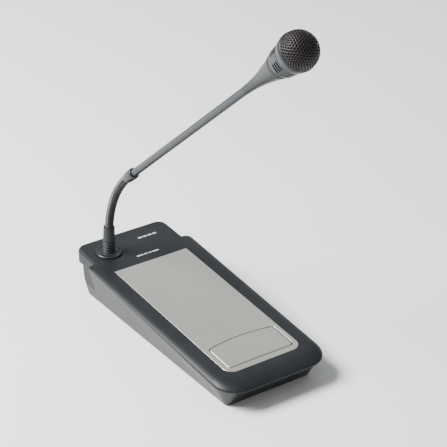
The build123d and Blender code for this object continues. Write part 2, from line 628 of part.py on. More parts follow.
SPRING_FOOT = on_top(SPRING_X, SWITCH_FROM_FRONT, BOARD_TOP - SPRING_WIRE_RADIUS - PART_FIT)
SPRING_HEIGHT = BOARD_TOP - KEY_UNDERSIDE - 2 * SPRING_WIRE_RADIUS - 2 * PART_FIT
with BuildPart() as return_spring:
    with BuildLine():
        coil = Helix(SPRING_HEIGHT / SPRING_TURNS, SPRING_HEIGHT, SPRING_RADIUS, center=SPRING_FOOT, direction=UP)
    with BuildSketch(Plane(origin=coil @ 0, z_dir=coil % 0)):
        Circle(SPRING_WIRE_RADIUS)
    sweep(path=coil, is_frenet=True)
save(return_spring.part, "key_return_spring")

with BuildPart() as socket_board:
    with BuildSketch(Plane.XY.offset(SOCKET_BOARD_HEIGHT)):
        with Locations((SOCKET_X, socket_board_y)):
            Rectangle(SOCKET_BOARD_WIDTH, SOCKET_BOARD_LENGTH)
        with Locations(*socket_posts):
            Circle(BOARD_SCREW_RADIUS + 2 * SCREW_FIT, mode=Mode.SUBTRACT)
    extrude(amount=BOARD_THICKNESS)
save(socket_board.part, "socket_board")

with BuildPart() as socket_board_screws:
    with Locations(*[(x, y, SOCKET_BOARD_HEIGHT + BOARD_THICKNESS) for x, y in socket_posts]):
        Cylinder(2 * BOARD_SCREW_RADIUS, BOARD_SCREW_RADIUS, align=(Align.CENTER, Align.CENTER, Align.MIN))
        Cylinder(BOARD_SCREW_RADIUS, BOARD_THICKNESS + 3 * BOARD_SCREW_RADIUS,
                 align=(Align.CENTER, Align.CENTER, Align.MAX))
save(socket_board_screws.part, "socket_board_screws")

SOCKET_REAR_Y = HOUSING_REAR_Y
with BuildPart() as socket_shell:
    with Locations((SOCKET_X, SOCKET_REAR_Y, socket_z)):
        Box(SOCKET_WIDTH, SOCKET_LENGTH, SOCKET_HEIGHT, align=(Align.CENTER, Align.MAX, Align.CENTER))
        Box(SOCKET_CAVITY_WIDTH, SOCKET_CAVITY_DEPTH, SOCKET_CAVITY_HEIGHT,
            align=(Align.CENTER, Align.MAX, Align.CENTER), mode=Mode.SUBTRACT)
save(socket_shell.part, "line_socket")

with BuildPart() as socket_contacts:
    contact_top = socket_z + SOCKET_CAVITY_HEIGHT / 2
    with Locations((SOCKET_X, SOCKET_REAR_Y - SOCKET_CAVITY_DEPTH / 2, contact_top)):
        with GridLocations(CONTACT_PITCH, 1, CONTACT_COUNT, 1):
            Box(CONTACT_PITCH / 3, SOCKET_CAVITY_DEPTH / 2, CONTACT_PITCH / 2,
                align=(Align.CENTER, Align.CENTER, Align.MAX))
save(socket_contacts.part, "socket_contacts")

# ---------------------------------------------------------------- neck mount
rosette_rim = ROSETTE_HEIGHT / 2
rosette = turned(NECK_BASE, UP, [
    (SLEEVE_FOOT_RADIUS + PART_FIT, PART_FIT), (ROSETTE_RADIUS, PART_FIT), (ROSETTE_RADIUS, rosette_rim),
    (ROSETTE_RADIUS - rosette_rim, ROSETTE_HEIGHT), (SLEEVE_FOOT_RADIUS + PART_FIT, ROSETTE_HEIGHT)])
save(rosette, "neck_rosette")

sleeve = turned(NECK_BASE, UP, [
    (THREAD_RADIUS + PART_FIT, PART_FIT), (SLEEVE_FOOT_RADIUS, PART_FIT), (SLEEVE_FOOT_RADIUS, SLEEVE_TOP / 2),
    (SLEEVE_TOP_RADIUS, SLEEVE_TOP), (THREAD_RADIUS + PART_FIT, SLEEVE_TOP)])
save(sleeve, "neck_sleeve")

nut_face = COVER_WALL + WASHER_THICKNESS + 2 * PART_FIT
washer = turned(NECK_BASE, UP, [
    (THREAD_RADIUS + 2 * PART_FIT, -COVER_WALL - PART_FIT), (WASHER_RADIUS, -COVER_WALL - PART_FIT),
    (WASHER_RADIUS, PART_FIT - nut_face), (THREAD_RADIUS + 2 * PART_FIT, PART_FIT - nut_face)])
save(washer, "neck_washer")

with BuildPart() as neck_nut:
    with BuildSketch(Plane(origin=NECK_BASE - UP * nut_face, x_dir=ACROSS, z_dir=UP)):
        RegularPolygon(NUT_ACROSS_FLATS / 2, 6, major_radius=False, rotation=0)
        Circle(THREAD_RADIUS + PART_FIT, mode=Mode.SUBTRACT)
    extrude(amount=-NUT_HEIGHT)
save(neck_nut.part, "neck_nut")

# ---------------------------------------------------------------- flexible neck: ball-and-cup links
JOINT_PITCH = (JOINT_LAST - JOINT_FIRST) / (JOINT_COUNT - 1)
JOINTS = [neck_point(JOINT_FIRST + i * JOINT_PITCH) for i in range(JOINT_COUNT)]
CUP_RADIUS = BALL_RADIUS + RUNNING_FIT
CUP_MOUTH = CUP_RADIUS * math.cos(math.radians(CUP_MOUTH_ANGLE))
CUP_MOUTH_RADIUS = CUP_RADIUS * math.sin(math.radians(CUP_MOUTH_ANGLE))


def barrel(start, direction, begin, centre_at):
    """Tube of the neck with a spherical cup at its far end, opening away from the start."""
    with BuildPart() as tube:
        with BuildSketch(axial_plane(start, direction)):
            with BuildLine():
                Polyline((0, centre_at + CUP_MOUTH), (0, begin), (FLEX_RADIUS, begin),
                         (FLEX_RADIUS, centre_at + CUP_MOUTH), close=True)
            make_face()
        revolve(axis=Axis(start, direction))
        with Locations(start + direction * centre_at):
            Sphere(CUP_RADIUS, mode=Mode.SUBTRACT)
    return tube.part


def ball(start, direction, reach):
    """Ball about the start with its short neck up to the length reach."""
    with BuildPart() as end:
        with Locations(start):
            Sphere(BALL_RADIUS)
        with BuildSketch(axial_plane(start, direction)):
            with BuildLine():
                Polyline((0, 0), (BALL_NECK_RADIUS, 0), (BALL_NECK_RADIUS, reach), (0, reach), close=True)
            make_face()
        revolve(axis=Axis(start, direction))
    return end.part


def wire_bore(start, direction, begin, end, radius):
    """Round core for the microphone wires, to be cut out of a piece of the neck."""
    return turned(start, direction, [(0, begin), (radius, begin), (radius, end), (0, end)])


ROOT_NECK_RADIUS = FLEX_RADIUS - 8 * SCREW_FIT
ROOT_OVERLAP = FLEX_RADIUS
with BuildPart() as neck_root:
    add(turned(NECK_BASE, UP, [
        (0, -THREAD_LENGTH), (THREAD_RADIUS, -THREAD_LENGTH), (THREAD_RADIUS, NECK_STRAIGHT - 3 * FLEX_RADIUS),
        (ROOT_NECK_RADIUS, NECK_STRAIGHT - 2 * FLEX_RADIUS), (ROOT_NECK_RADIUS, NECK_STRAIGHT),
        (0, NECK_STRAIGHT)]))
    root_end = neck_point(NECK_STRAIGHT)
    root_chord = (JOINTS[0] - root_end).normalized()
    root_length = (JOINTS[0] - root_end).length
    add(barrel(root_end, root_chord, -ROOT_OVERLAP, root_length))
    add(wire_bore(NECK_BASE, UP, -THREAD_LENGTH, NECK_STRAIGHT - FLEX_RADIUS / 2, 2 * WIRE_BORE_RADIUS),
        mode=Mode.SUBTRACT)
    add(wire_bore(root_end, root_chord, -FLEX_RADIUS, root_length, WIRE_BORE_RADIUS), mode=Mode.SUBTRACT)
save(neck_root.part, "neck_root")

for i in range(JOINT_COUNT - 1):
    chord = (JOINTS[i + 1] - JOINTS[i]).normalized()
    length = (JOINTS[i + 1] - JOINTS[i]).length
    with BuildPart() as link:
        add(ball(JOINTS[i], chord, LINK_SHOULDER + PART_FIT))
        add(barrel(JOINTS[i], chord, LINK_SHOULDER, length))
        add(wire_bore(JOINTS[i], chord, -2 * BALL_RADIUS, length, WIRE_BORE_RADIUS), mode=Mode.SUBTRACT)
    save(link.part, f"neck_link_{i + 1}")

# ---------------------------------------------------------------- stem and microphone head
end_chord = (neck_point(STEM_START) - JOINTS[-1]).normalized()
END_SHOULDER_RADIUS = STEM_RADIUS - PART_FIT
with BuildPart() as end_fitting:
    add(ball(JOINTS[-1], end_chord, LINK_SHOULDER + PART_FIT))
    end_length = (neck_point(STEM_START) - JOINTS[-1]).length
    end_tip = end_length - SEAM_GAP - PART_FIT
    add(turned(JOINTS[-1], end_chord, [
        (0, LINK_SHOULDER), (END_SHOULDER_RADIUS, LINK_SHOULDER), (END_SHOULDER_RADIUS, end_tip), (0, end_tip)]))
    add(wire_bore(JOINTS[-1], end_chord, -2 * BALL_RADIUS, 2 * end_tip, WIRE_BORE_RADIUS), mode=Mode.SUBTRACT)
save(end_fitting.part, "stem_end_fitting")

FERRULE_BORE = FLEX_RADIUS + 7 * PART_FIT
ferrule = head_turned([
    (FERRULE_BORE, FERRULE_START), (FERRULE_START_RADIUS - 6 * PART_FIT, FERRULE_START),
    (FERRULE_START_RADIUS, FERRULE_START + 6 * PART_FIT), (FERRULE_END_RADIUS, FERRULE_END - 1),
    (FERRULE_END_RADIUS - 1, FERRULE_END), (STEM_RADIUS + PART_FIT, FERRULE_END),
    (STEM_RADIUS + PART_FIT, STEM_START), (FERRULE_BORE, STEM_START)])
save(ferrule, "stem_ferrule")

stem_tube = head_turned([
    (STEM_BORE_RADIUS, STEM_START), (STEM_RADIUS, STEM_START), (STEM_RADIUS, STEM_END),
    (STEM_BORE_RADIUS, STEM_END)])
save(stem_tube, "stem_tube")

# trumpet flare: radius at a few stations of the neck length, faired by one spline
FLARE_RADII = [(294.0, 3.4), (300.0, 3.63), (306.0, 4.02), (312.0, 4.59), (318.0, 5.4), (325.0, 6.64),
               (332.0, 7.88), (338.0, 9.13), (FLARE_END, 11.0)]


def head_spline_shell(stations, wall):
    """Shell of revolution whose outer line is one spline through the stations."""
    start = neck_point(STEM_START)
    outer = [(radius, s - STEM_START) for s, radius in stations]
    inner = [(radius - wall, s) for radius, s in outer]
    with BuildPart() as shell:
        with BuildSketch(axial_plane(start, HEAD_AXIS)):
            with BuildLine():
                outside = Spline(*outer)
                inside = Spline(*inner)
                Line(outside @ 0, inside @ 0)
                Line(outside @ 1, inside @ 1)
            make_face()
        revolve(axis=Axis(start, HEAD_AXIS))
    return shell.part


with BuildPart() as flare:
    add(head_spline_shell(FLARE_RADII, HEAD_WALL))
    add(head_turned([(0, STEM_START), (STEM_RADIUS + PART_FIT, STEM_START),
                     (STEM_RADIUS + PART_FIT, STEM_END + PART_FIT), (0, STEM_END + PART_FIT)]), mode=Mode.SUBTRACT)
save(flare.part, "head_flare")

SEAL_START = FLARE_END + PART_FIT
BAND_START = FLARE_END + HEAD_SEAL_WIDTH + 2 * PART_FIT
head_seal = head_turned([
    (HEAD_SEAL_RADIUS - 2 * HEAD_WALL, SEAL_START), (HEAD_SEAL_RADIUS - HEAD_WALL / 4, SEAL_START),
    (HEAD_SEAL_RADIUS - HEAD_WALL / 4, SEAL_START + HEAD_SEAL_WIDTH),
    (HEAD_SEAL_RADIUS - 2 * HEAD_WALL, SEAL_START + HEAD_SEAL_WIDTH)])
save(head_seal, "head_seal_ring")

band = head_turned([
    (BAND_START_RADIUS - 2 * HEAD_WALL, BAND_START), (BAND_START_RADIUS, BAND_START),
    (BAND_END_RADIUS, BAND_END), (BAND_END_RADIUS - HEAD_WALL, BAND_END),
    (BAND_START_RADIUS - HEAD_WALL, BAND_START + 2 * HEAD_WALL),
    (BAND_START_RADIUS - 2 * HEAD_WALL, BAND_START + 2 * HEAD_WALL)])
save(band, "slotted_band")

collar = head_turned([
    (BAND_END_RADIUS - HEAD_WALL, BAND_END + PART_FIT), (COLLAR_RADIUS - HEAD_WALL / 2, BAND_END + PART_FIT),
    (COLLAR_RADIUS, BAND_END + HEAD_WALL), (COLLAR_RADIUS, COLLAR_END), (COLLAR_RADIUS - HEAD_WALL, COLLAR_END),
    (COLLAR_RADIUS - HEAD_WALL, BAND_END + 2 * HEAD_WALL), (BAND_END_RADIUS - HEAD_WALL, BAND_END + 2 * HEAD_WALL)])
save(collar, "head_collar")


def dome_solid(inset):
    """Closed dome on the head axis: straight to the widest place, then a quarter ellipse to the tip."""
    start = neck_point(STEM_START)
    radius = GRILLE_RADIUS - inset
    begin = GRILLE_START - STEM_START
    widest = GRILLE_BULGE - STEM_START
    height = GRILLE_END - inset - GRILLE_BULGE
    with BuildPart() as body:
        with BuildSketch(axial_plane(start, HEAD_AXIS)):
            with BuildLine():
                quarter = [math.radians(angle) for angle in (0, 30, 60)]
                curve = [(radius * math.cos(angle), widest + height * math.sin(angle)) for angle in quarter]
                over = Spline(*curve, (0, widest + height), tangents=[(0, 1), (-1, 0)])
                Polyline(over @ 1, (0, begin), (radius, begin), over @ 0)
            make_face()
        revolve(axis=Axis(start, HEAD_AXIS))
    return body.part


GRILLE_START = COLLAR_END + PART_FIT
with BuildPart() as grille:
    add(dome_solid(0))
    add(dome_solid(HEAD_WALL), mode=Mode.SUBTRACT)
save(grille.part, "grille")

FOAM_INSET = HEAD_WALL + FOAM_GAP
CAPSULE_FRONT = COLLAR_END + CAPSULE_LENGTH / 2
with BuildPart() as foam:
    add(dome_solid(FOAM_INSET))
    add(head_turned([(0, GRILLE_START - 1), (CAPSULE_RADIUS + FOAM_GAP, GRILLE_START - 1),
                     (CAPSULE_RADIUS + FOAM_GAP, CAPSULE_FRONT + FOAM_GAP), (0, CAPSULE_FRONT + FOAM_GAP)]),
        mode=Mode.SUBTRACT)
save(foam.part, "grille_foam")

capsule = head_turned([(0, CAPSULE_FRONT - CAPSULE_LENGTH), (CAPSULE_RADIUS, CAPSULE_FRONT - CAPSULE_LENGTH),
                       (CAPSULE_RADIUS, CAPSULE_FRONT), (0, CAPSULE_FRONT)])
save(capsule, "microphone_capsule")

capsule_mount = head_turned([
    (CAPSULE_RADIUS + PART_FIT, BAND_END + 2 * HEAD_WALL + PART_FIT),
    (COLLAR_RADIUS - HEAD_WALL - PART_FIT, BAND_END + 2 * HEAD_WALL + PART_FIT),
    (COLLAR_RADIUS - HEAD_WALL - PART_FIT, COLLAR_END - PART_FIT), (CAPSULE_RADIUS + PART_FIT, COLLAR_END - PART_FIT)])
save(capsule_mount, "capsule_mount")
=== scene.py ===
"""Visual model of a gooseneck desk call station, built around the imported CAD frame.

Sizes in the classes are in millimetres; meshes are written in metres.
"""
from __future__ import annotations

import json
import logging
import math
from collections.abc import Callable, Iterable, Sequence
from dataclasses import dataclass, field
from enum import Enum

import bmesh
import bpy
from mathutils import Matrix, Vector

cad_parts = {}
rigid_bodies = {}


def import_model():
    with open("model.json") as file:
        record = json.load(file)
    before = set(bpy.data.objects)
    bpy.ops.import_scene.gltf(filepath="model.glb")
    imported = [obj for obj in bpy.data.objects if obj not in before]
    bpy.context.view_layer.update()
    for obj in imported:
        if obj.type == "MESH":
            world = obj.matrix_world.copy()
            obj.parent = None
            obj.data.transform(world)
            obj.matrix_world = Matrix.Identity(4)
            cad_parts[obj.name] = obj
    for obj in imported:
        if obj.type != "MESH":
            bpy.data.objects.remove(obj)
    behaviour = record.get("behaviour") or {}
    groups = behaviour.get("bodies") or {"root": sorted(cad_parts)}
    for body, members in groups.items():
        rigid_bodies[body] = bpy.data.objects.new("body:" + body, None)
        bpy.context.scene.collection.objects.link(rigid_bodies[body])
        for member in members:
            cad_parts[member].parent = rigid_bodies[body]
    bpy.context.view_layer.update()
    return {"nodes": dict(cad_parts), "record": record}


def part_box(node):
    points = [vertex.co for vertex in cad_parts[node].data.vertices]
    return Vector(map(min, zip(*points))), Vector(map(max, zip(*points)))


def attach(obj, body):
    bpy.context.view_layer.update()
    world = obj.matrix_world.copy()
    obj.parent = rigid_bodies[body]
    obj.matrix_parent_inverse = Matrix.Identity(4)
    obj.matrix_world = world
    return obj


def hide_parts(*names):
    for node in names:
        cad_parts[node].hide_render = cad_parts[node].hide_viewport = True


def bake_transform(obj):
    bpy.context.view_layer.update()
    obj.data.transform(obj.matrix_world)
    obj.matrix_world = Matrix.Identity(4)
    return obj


MM = 0.001
LOG = logging.getLogger("call_station")
Point = tuple[float, float]
Colour = tuple[float, float, float]


class Turn(Enum):
    """How finely a round piece is divided around its axis."""

    FINE = 96
    MEDIUM = 56


# ---------------------------------------------------------------- shader building


class Value:
    """A shader socket that can be used in Python arithmetic."""

    def __init__(self, shader: "Shader", socket: bpy.types.NodeSocket) -> None:
        """Keep the socket and the shader that owns its nodes."""
        self.shader = shader
        self.socket = socket

    def _math(self, operation: str, first: "Value | float", second: "Value | float") -> "Value":
        """Add one Math node.

        Args:
            operation: the Math node's operation.
            first: left operand.
            second: right operand.

        Returns:
            The result as a value.
        """
        node = self.shader.node("ShaderNodeMath", {"operation": operation}, {0: first, 1: second})
        return Value(self.shader, node.outputs[0])

    def __add__(self, other: "Value | float") -> "Value":
        """Sum."""
        return self._math("ADD", self, other)

    def __mul__(self, other: "Value | float") -> "Value":
        """Product."""
        return self._math("MULTIPLY", self, other)

    def between(self, low: float, high: float) -> "Value":
        """Smooth step from 0 at low to 1 at high."""
        node = self.shader.node(
            "ShaderNodeMapRange",
            {"interpolation_type": "SMOOTHSTEP"},
            {"Value": self, "From Min": low, "From Max": high},
        )
        return Value(self.shader, node.outputs[0])


class Shader:
    """One node material with a Principled surface."""

    def __init__(self, name: str) -> None:
        """Start an empty material with its surface and output nodes."""
        self.material = bpy.data.materials.new(name)
        self.material.use_nodes = True
        self.tree = self.material.node_tree
        self.tree.nodes.clear()
        self.surface = self.tree.nodes.new("ShaderNodeBsdfPrincipled")
        output = self.tree.nodes.new("ShaderNodeOutputMaterial")
        self.tree.links.new(self.surface.outputs[0], output.inputs["Surface"])
        self.coordinates = self.tree.nodes.new("ShaderNodeTexCoord")

    def node(self, kind: str, settings: dict[str, object], inputs: dict[object, object]) -> bpy.types.Node:
        """Add one node.

        Args:
            kind: the node's type name.
            settings: attributes that are set first.
            inputs: values or links for its sockets, by name or index.

        Returns:
            The new node.
        """
        made = self.tree.nodes.new(kind)
        for key, value in settings.items():
            setattr(made, key, value)
        for key, value in inputs.items():
            self.feed(made.inputs[key], value)
        return made

    def feed(self, socket: bpy.types.NodeSocket, value: object) -> None:
        """Link a value or another socket into the socket, or set its number or colour."""
        if isinstance(value, Value):
            self.tree.links.new(value.socket, socket)
        elif isinstance(value, bpy.types.NodeSocket):
            self.tree.links.new(value, socket)
        elif isinstance(value, tuple) and len(value) == 3 and socket.type == "RGBA":
            socket.default_value = (*value, 1.0)
        else:
            socket.default_value = value

    def place(self, scale: Sequence[float] = (1, 1, 1)) -> bpy.types.NodeSocket:
        """Object coordinates, scaled.

        Args:
            scale: factor along each axis.

        Returns:
            The mapped vector socket.
        """
        mapped = self.node(
            "ShaderNodeMapping",
            {"vector_type": "POINT"},
            {"Vector": self.coordinates.outputs["Object"], "Scale": tuple(scale)},
        )
        return mapped.outputs[0]

    def noise(self, size_mm: float, detail: float = 2.0, stretch: Sequence[float] = (1, 1, 1)) -> Value:
        """Cloud noise whose features are about size_mm across.

        Args:
            size_mm: feature size in millimetres.
            detail: octaves.
            stretch: extra scale along each axis.

        Returns:
            The noise value from 0 to 1.
        """
        made = self.node(
            "ShaderNodeTexNoise", {},
            {"Vector": self.place(stretch), "Scale": 1.0 / (size_mm * MM), "Detail": detail},
        )
        return Value(self, made.outputs[0])

    def cells(self, size_mm: float) -> Value:
        """Distance to the nearest of scattered cells about size_mm apart."""
        made = self.node(
            "ShaderNodeTexVoronoi", {"feature": "F1"}, {"Vector": self.place(), "Scale": 1.0 / (size_mm * MM)}
        )
        return Value(self, made.outputs["Distance"])

    def blend(self, factor: "Value | float", low: object, high: object) -> bpy.types.NodeSocket:
        """Mix two colours by a factor.

        Args:
            factor: 0 for low and 1 for high.
            low: first colour or socket.
            high: second colour or socket.

        Returns:
            The mixed colour socket.
        """
        made = self.node("ShaderNodeMix", {"data_type": "RGBA"}, {})
        self.feed(made.inputs["Factor"], factor)
        self.feed(made.inputs[6], low)
        self.feed(made.inputs[7], high)
        return made.outputs[2]

    def colour(self, factor: "Value | float", low: Colour, high: Colour) -> None:
        """Set the surface's colour to a mix of two colours."""
        self.feed(self.surface.inputs["Base Color"], self.blend(factor, low, high))

    def bump(self, height: Value, depth_mm: float) -> None:
        """Send a height into the surface's normal, depth_mm deep."""
        made = self.node("ShaderNodeBump", {}, {"Height": height, "Distance": depth_mm * MM, "Strength": 1.0})
        self.feed(self.surface.inputs["Normal"], made.outputs[0])

    def finish(self, constants: dict[str, object]) -> bpy.types.Material:
        """Set the surface's constant sockets and return the material."""
        for key, value in constants.items():
            self.feed(self.surface.inputs[key], value)
        return self.material


@dataclass(frozen=True)
class MouldedPlastic:
    """Textured moulded plastic: fine spark-eroded grain and slightly polished patches."""

    name: str
    colour: Colour
    handled: Colour
    roughness: float = 0.42
    grain_mm: float = 0.35
    grain_depth_mm: float = 0.02

    def make(self) -> bpy.types.Material:
        """Build the material."""
        shader = Shader(self.name)
        grain = shader.noise(self.grain_mm, 3.0)
        patches = shader.noise(28.0, 3.0)
        fleck = shader.cells(0.6)
        shader.colour(patches.between(0.35, 0.75), self.colour, self.handled)
        shader.feed(shader.surface.inputs["Roughness"], patches * -0.10 + grain * 0.10 + self.roughness)
        shader.bump(grain * 0.7 + fleck * 0.3, self.grain_depth_mm)
        return shader.finish({"Specular IOR Level": 0.36, "IOR": 1.5})


@dataclass(frozen=True)
class SatinMetal:
    """Satin lacquered sheet metal with a fine one-way grain."""

    name: str
    colour: Colour
    bright: Colour
    roughness: float = 0.36
    metallic: float = 0.75
    grain_mm: float = 0.25

    def make(self) -> bpy.types.Material:
        """Build the material."""
        shader = Shader(self.name)
        lines = shader.noise(self.grain_mm, 2.0, (1.0, 0.03, 1.0))
        cloud = shader.noise(45.0, 2.0)
        speck = shader.noise(0.18, 1.0)
        tone = lines * 0.45 + cloud * 0.35 + speck * 0.20
        shader.colour(tone.between(0.3, 0.7), self.colour, self.bright)
        shader.feed(shader.surface.inputs["Roughness"], lines * 0.10 + cloud * 0.06 + (self.roughness - 0.08))
        shader.bump(lines * 0.6 + speck * 0.4, 0.004)
        return shader.finish({"Metallic": self.metallic, "Coat Weight": 0.15, "Coat Roughness": 0.3})


@dataclass(frozen=True)
class SatinPaint:
    """Satin paint or anodising on metal, with a faint orange peel and worn patches."""

    name: str
    colour: Colour
    worn: Colour
    roughness: float = 0.34

    def make(self) -> bpy.types.Material:
        """Build the material."""
        shader = Shader(self.name)
        peel = shader.noise(0.9, 2.0)
        patches = shader.noise(9.0, 4.0)
        shader.colour(patches.between(0.45, 0.8), self.colour, self.worn)
        shader.feed(shader.surface.inputs["Roughness"], patches * 0.12 + (self.roughness - 0.06))
        shader.bump(peel, 0.006)
        return shader.finish({"Specular IOR Level": 0.5})


@dataclass(frozen=True)
class SoftRubber:
    """Matt black rubber with a dusty grain."""

    name: str
    colour: Colour
    dust: Colour
    roughness: float = 0.62

    def make(self) -> bpy.types.Material:
        """Build the material."""
        shader = Shader(self.name)
        dust = shader.noise(2.4, 5.0)
        grain = shader.noise(0.3, 2.0)
        shader.colour(dust.between(0.5, 0.85), self.colour, self.dust)
        shader.feed(shader.surface.inputs["Roughness"], dust * 0.16 + (self.roughness - 0.08))
        shader.bump(grain, 0.015)
        return shader.finish({"Specular IOR Level": 0.4})


@dataclass(frozen=True)
class PlatedSteel:
    """Bright plated steel with fine scratches."""

    name: str
    colour: Colour
    scratch: Colour
    roughness: float = 0.28

    def make(self) -> bpy.types.Material:
        """Build the material."""
        shader = Shader(self.name)
        scratches = shader.noise(0.5, 3.0, (1.0, 0.08, 0.4))
        cloud = shader.noise(6.0, 3.0)
        shader.colour(cloud.between(0.4, 0.75), self.colour, self.scratch)
        shader.feed(shader.surface.inputs["Roughness"], scratches * 0.22 + (self.roughness - 0.1))
        shader.bump(scratches, 0.003)
        return shader.finish({"Metallic": 1.0})


@dataclass(frozen=True)
class OpenFoam:
    """Open-cell foam whose pores carry painted shade: darker colour in the cell hollows."""

    name: str
    colour: Colour
    pore_shade: Colour

    def make(self) -> bpy.types.Material:
        """Build the material."""
        shader = Shader(self.name)
        pores = shader.cells(0.7)
        tint = shader.noise(6.0, 2.0)
        # painted shade: the darker pore colour goes to the cell centres, where the bump dips, standing in for
        # shade inside the open pores
        mixed = pores * 0.7 + tint * 0.3
        shader.colour(mixed.between(0.2, 0.7), self.pore_shade, self.colour)
        shader.feed(shader.surface.inputs["Roughness"], pores * 0.1 + 0.85)
        shader.bump(pores, 0.25)
        return shader.finish({"Specular IOR Level": 0.2})


@dataclass(frozen=True)
class BoardLaminate:
    """Printed circuit board: solder mask with copper tracks showing through."""

    name: str
    mask: Colour
    track: Colour

    def make(self) -> bpy.types.Material:
        """Build the material."""
        shader = Shader(self.name)
        tracks = shader.noise(3.0, 0.0, (1.0, 0.25, 1.0)).between(0.52, 0.56)
        shader.colour(tracks, self.mask, self.track)
        shader.feed(shader.surface.inputs["Roughness"], tracks * -0.1 + 0.4)
        shader.bump(tracks, 0.03)
        return shader.finish({"Coat Weight": 0.3, "Coat Roughness": 0.2})


@dataclass(frozen=True)
class PrintInk:
    """Screen-printed ink with slightly uneven cover."""

    name: str
    colour: Colour
    thin: Colour

    def make(self) -> bpy.types.Material:
        """Build the material."""
        shader = Shader(self.name)
        cover = shader.noise(0.5, 3.0)
        shader.colour(cover.between(0.3, 0.6), self.thin, self.colour)
        shader.feed(shader.surface.inputs["Roughness"], cover * 0.1 + 0.5)
        shader.bump(cover, 0.005)
        return shader.finish({})


@dataclass(frozen=True)
class PaleFloor:
    """Plain pale studio floor."""

    name: str = "pale_floor"
    colour: Colour = (0.93, 0.932, 0.935)
    shade: Colour = (0.91, 0.912, 0.917)

    def make(self) -> bpy.types.Material:
        """Build the material."""
        shader = Shader(self.name)
        cloud = shader.noise(220.0, 2.0)
        shader.colour(cloud, self.shade, self.colour)
        return shader.finish({"Roughness": 0.9, "Specular IOR Level": 0.1})


@dataclass
class Finishes:
    """Every finish of the call station, made once and looked up by material slot."""

    table: dict[str, bpy.types.Material] = field(default_factory=dict)

    def __post_init__(self) -> None:
        """Build each finish under the record's slot name."""
        smooth_grain = (0.36, 0.3, 0.008)
        makers = {
            "cover_plastic": MouldedPlastic(
                "cover_plastic", (0.0075, 0.0095, 0.0112), (0.0105, 0.0128, 0.0148), 0.46),
            "housing_plastic": MouldedPlastic(
                "housing_plastic", (0.008, 0.010, 0.012), (0.011, 0.0135, 0.0155), 0.4),
            "panel_metal": SatinMetal("panel_metal", (0.47, 0.465, 0.435), (0.53, 0.525, 0.495)),
            "zinc_steel": PlatedSteel("zinc_steel", (0.56, 0.57, 0.58), (0.42, 0.43, 0.44)),
            "black_steel": PlatedSteel("black_steel", (0.03, 0.03, 0.032), (0.06, 0.06, 0.06), 0.4),
            "rubber": SoftRubber("rubber", (0.012, 0.012, 0.013), (0.04, 0.04, 0.042)),
            "sleeve_rubber": SoftRubber("sleeve_rubber", (0.016, 0.019, 0.022), (0.032, 0.036, 0.04), 0.5),
            "neck_black": SatinPaint("neck_black", (0.011, 0.014, 0.017), (0.02, 0.024, 0.028), 0.3),
            "stem_black": SatinPaint("stem_black", (0.013, 0.018, 0.022), (0.022, 0.028, 0.033), 0.3),
            "head_plastic": MouldedPlastic(
                "head_plastic", (0.012, 0.016, 0.019), (0.018, 0.023, 0.027), *smooth_grain),
            "band_grey": MouldedPlastic(
                "band_grey", (0.02, 0.0235, 0.028), (0.028, 0.032, 0.038), *smooth_grain),
            "grille_black": SatinPaint("grille_black", (0.004, 0.0045, 0.0055), (0.008, 0.009, 0.0105), 0.42),
            "foam": OpenFoam("foam", (0.045, 0.014, 0.012), (0.012, 0.005, 0.0045)),
            "capsule_metal": PlatedSteel("capsule_metal", (0.6, 0.6, 0.6), (0.5, 0.5, 0.5), 0.25),
            "board_laminate": BoardLaminate("board_laminate", (0.01, 0.07, 0.03), (0.04, 0.16, 0.07)),
            "black_plastic": MouldedPlastic("black_plastic", (0.012, 0.012, 0.012), (0.02, 0.02, 0.02)),
            "contact_gold": PlatedSteel("contact_gold", (0.83, 0.61, 0.25), (0.7, 0.5, 0.2), 0.2),
            "print_ink": PrintInk("print_ink", (0.62, 0.64, 0.65), (0.34, 0.36, 0.37)),
        }
        self.table = {slot: maker.make() for slot, maker in makers.items()}

    def __getitem__(self, slot: str) -> bpy.types.Material:
        """The finish of one slot."""
        return self.table[slot]

    def dress_frame(self, nodes: dict[str, bpy.types.Object], subparts: Iterable[dict[str, str]]) -> None:
        """Give every CAD node the finish of its slot.

        Args:
            nodes: CAD objects by node name.
            subparts: the record's list of nodes and slots.
        """
        for entry in subparts:
            node = nodes[entry["node"]]
            for slot in node.material_slots:
                slot.material = self[entry["material_slot"]]
            if not node.material_slots:
                node.data.materials.append(self[entry["material_slot"]])


# ---------------------------------------------------------------- mesh building


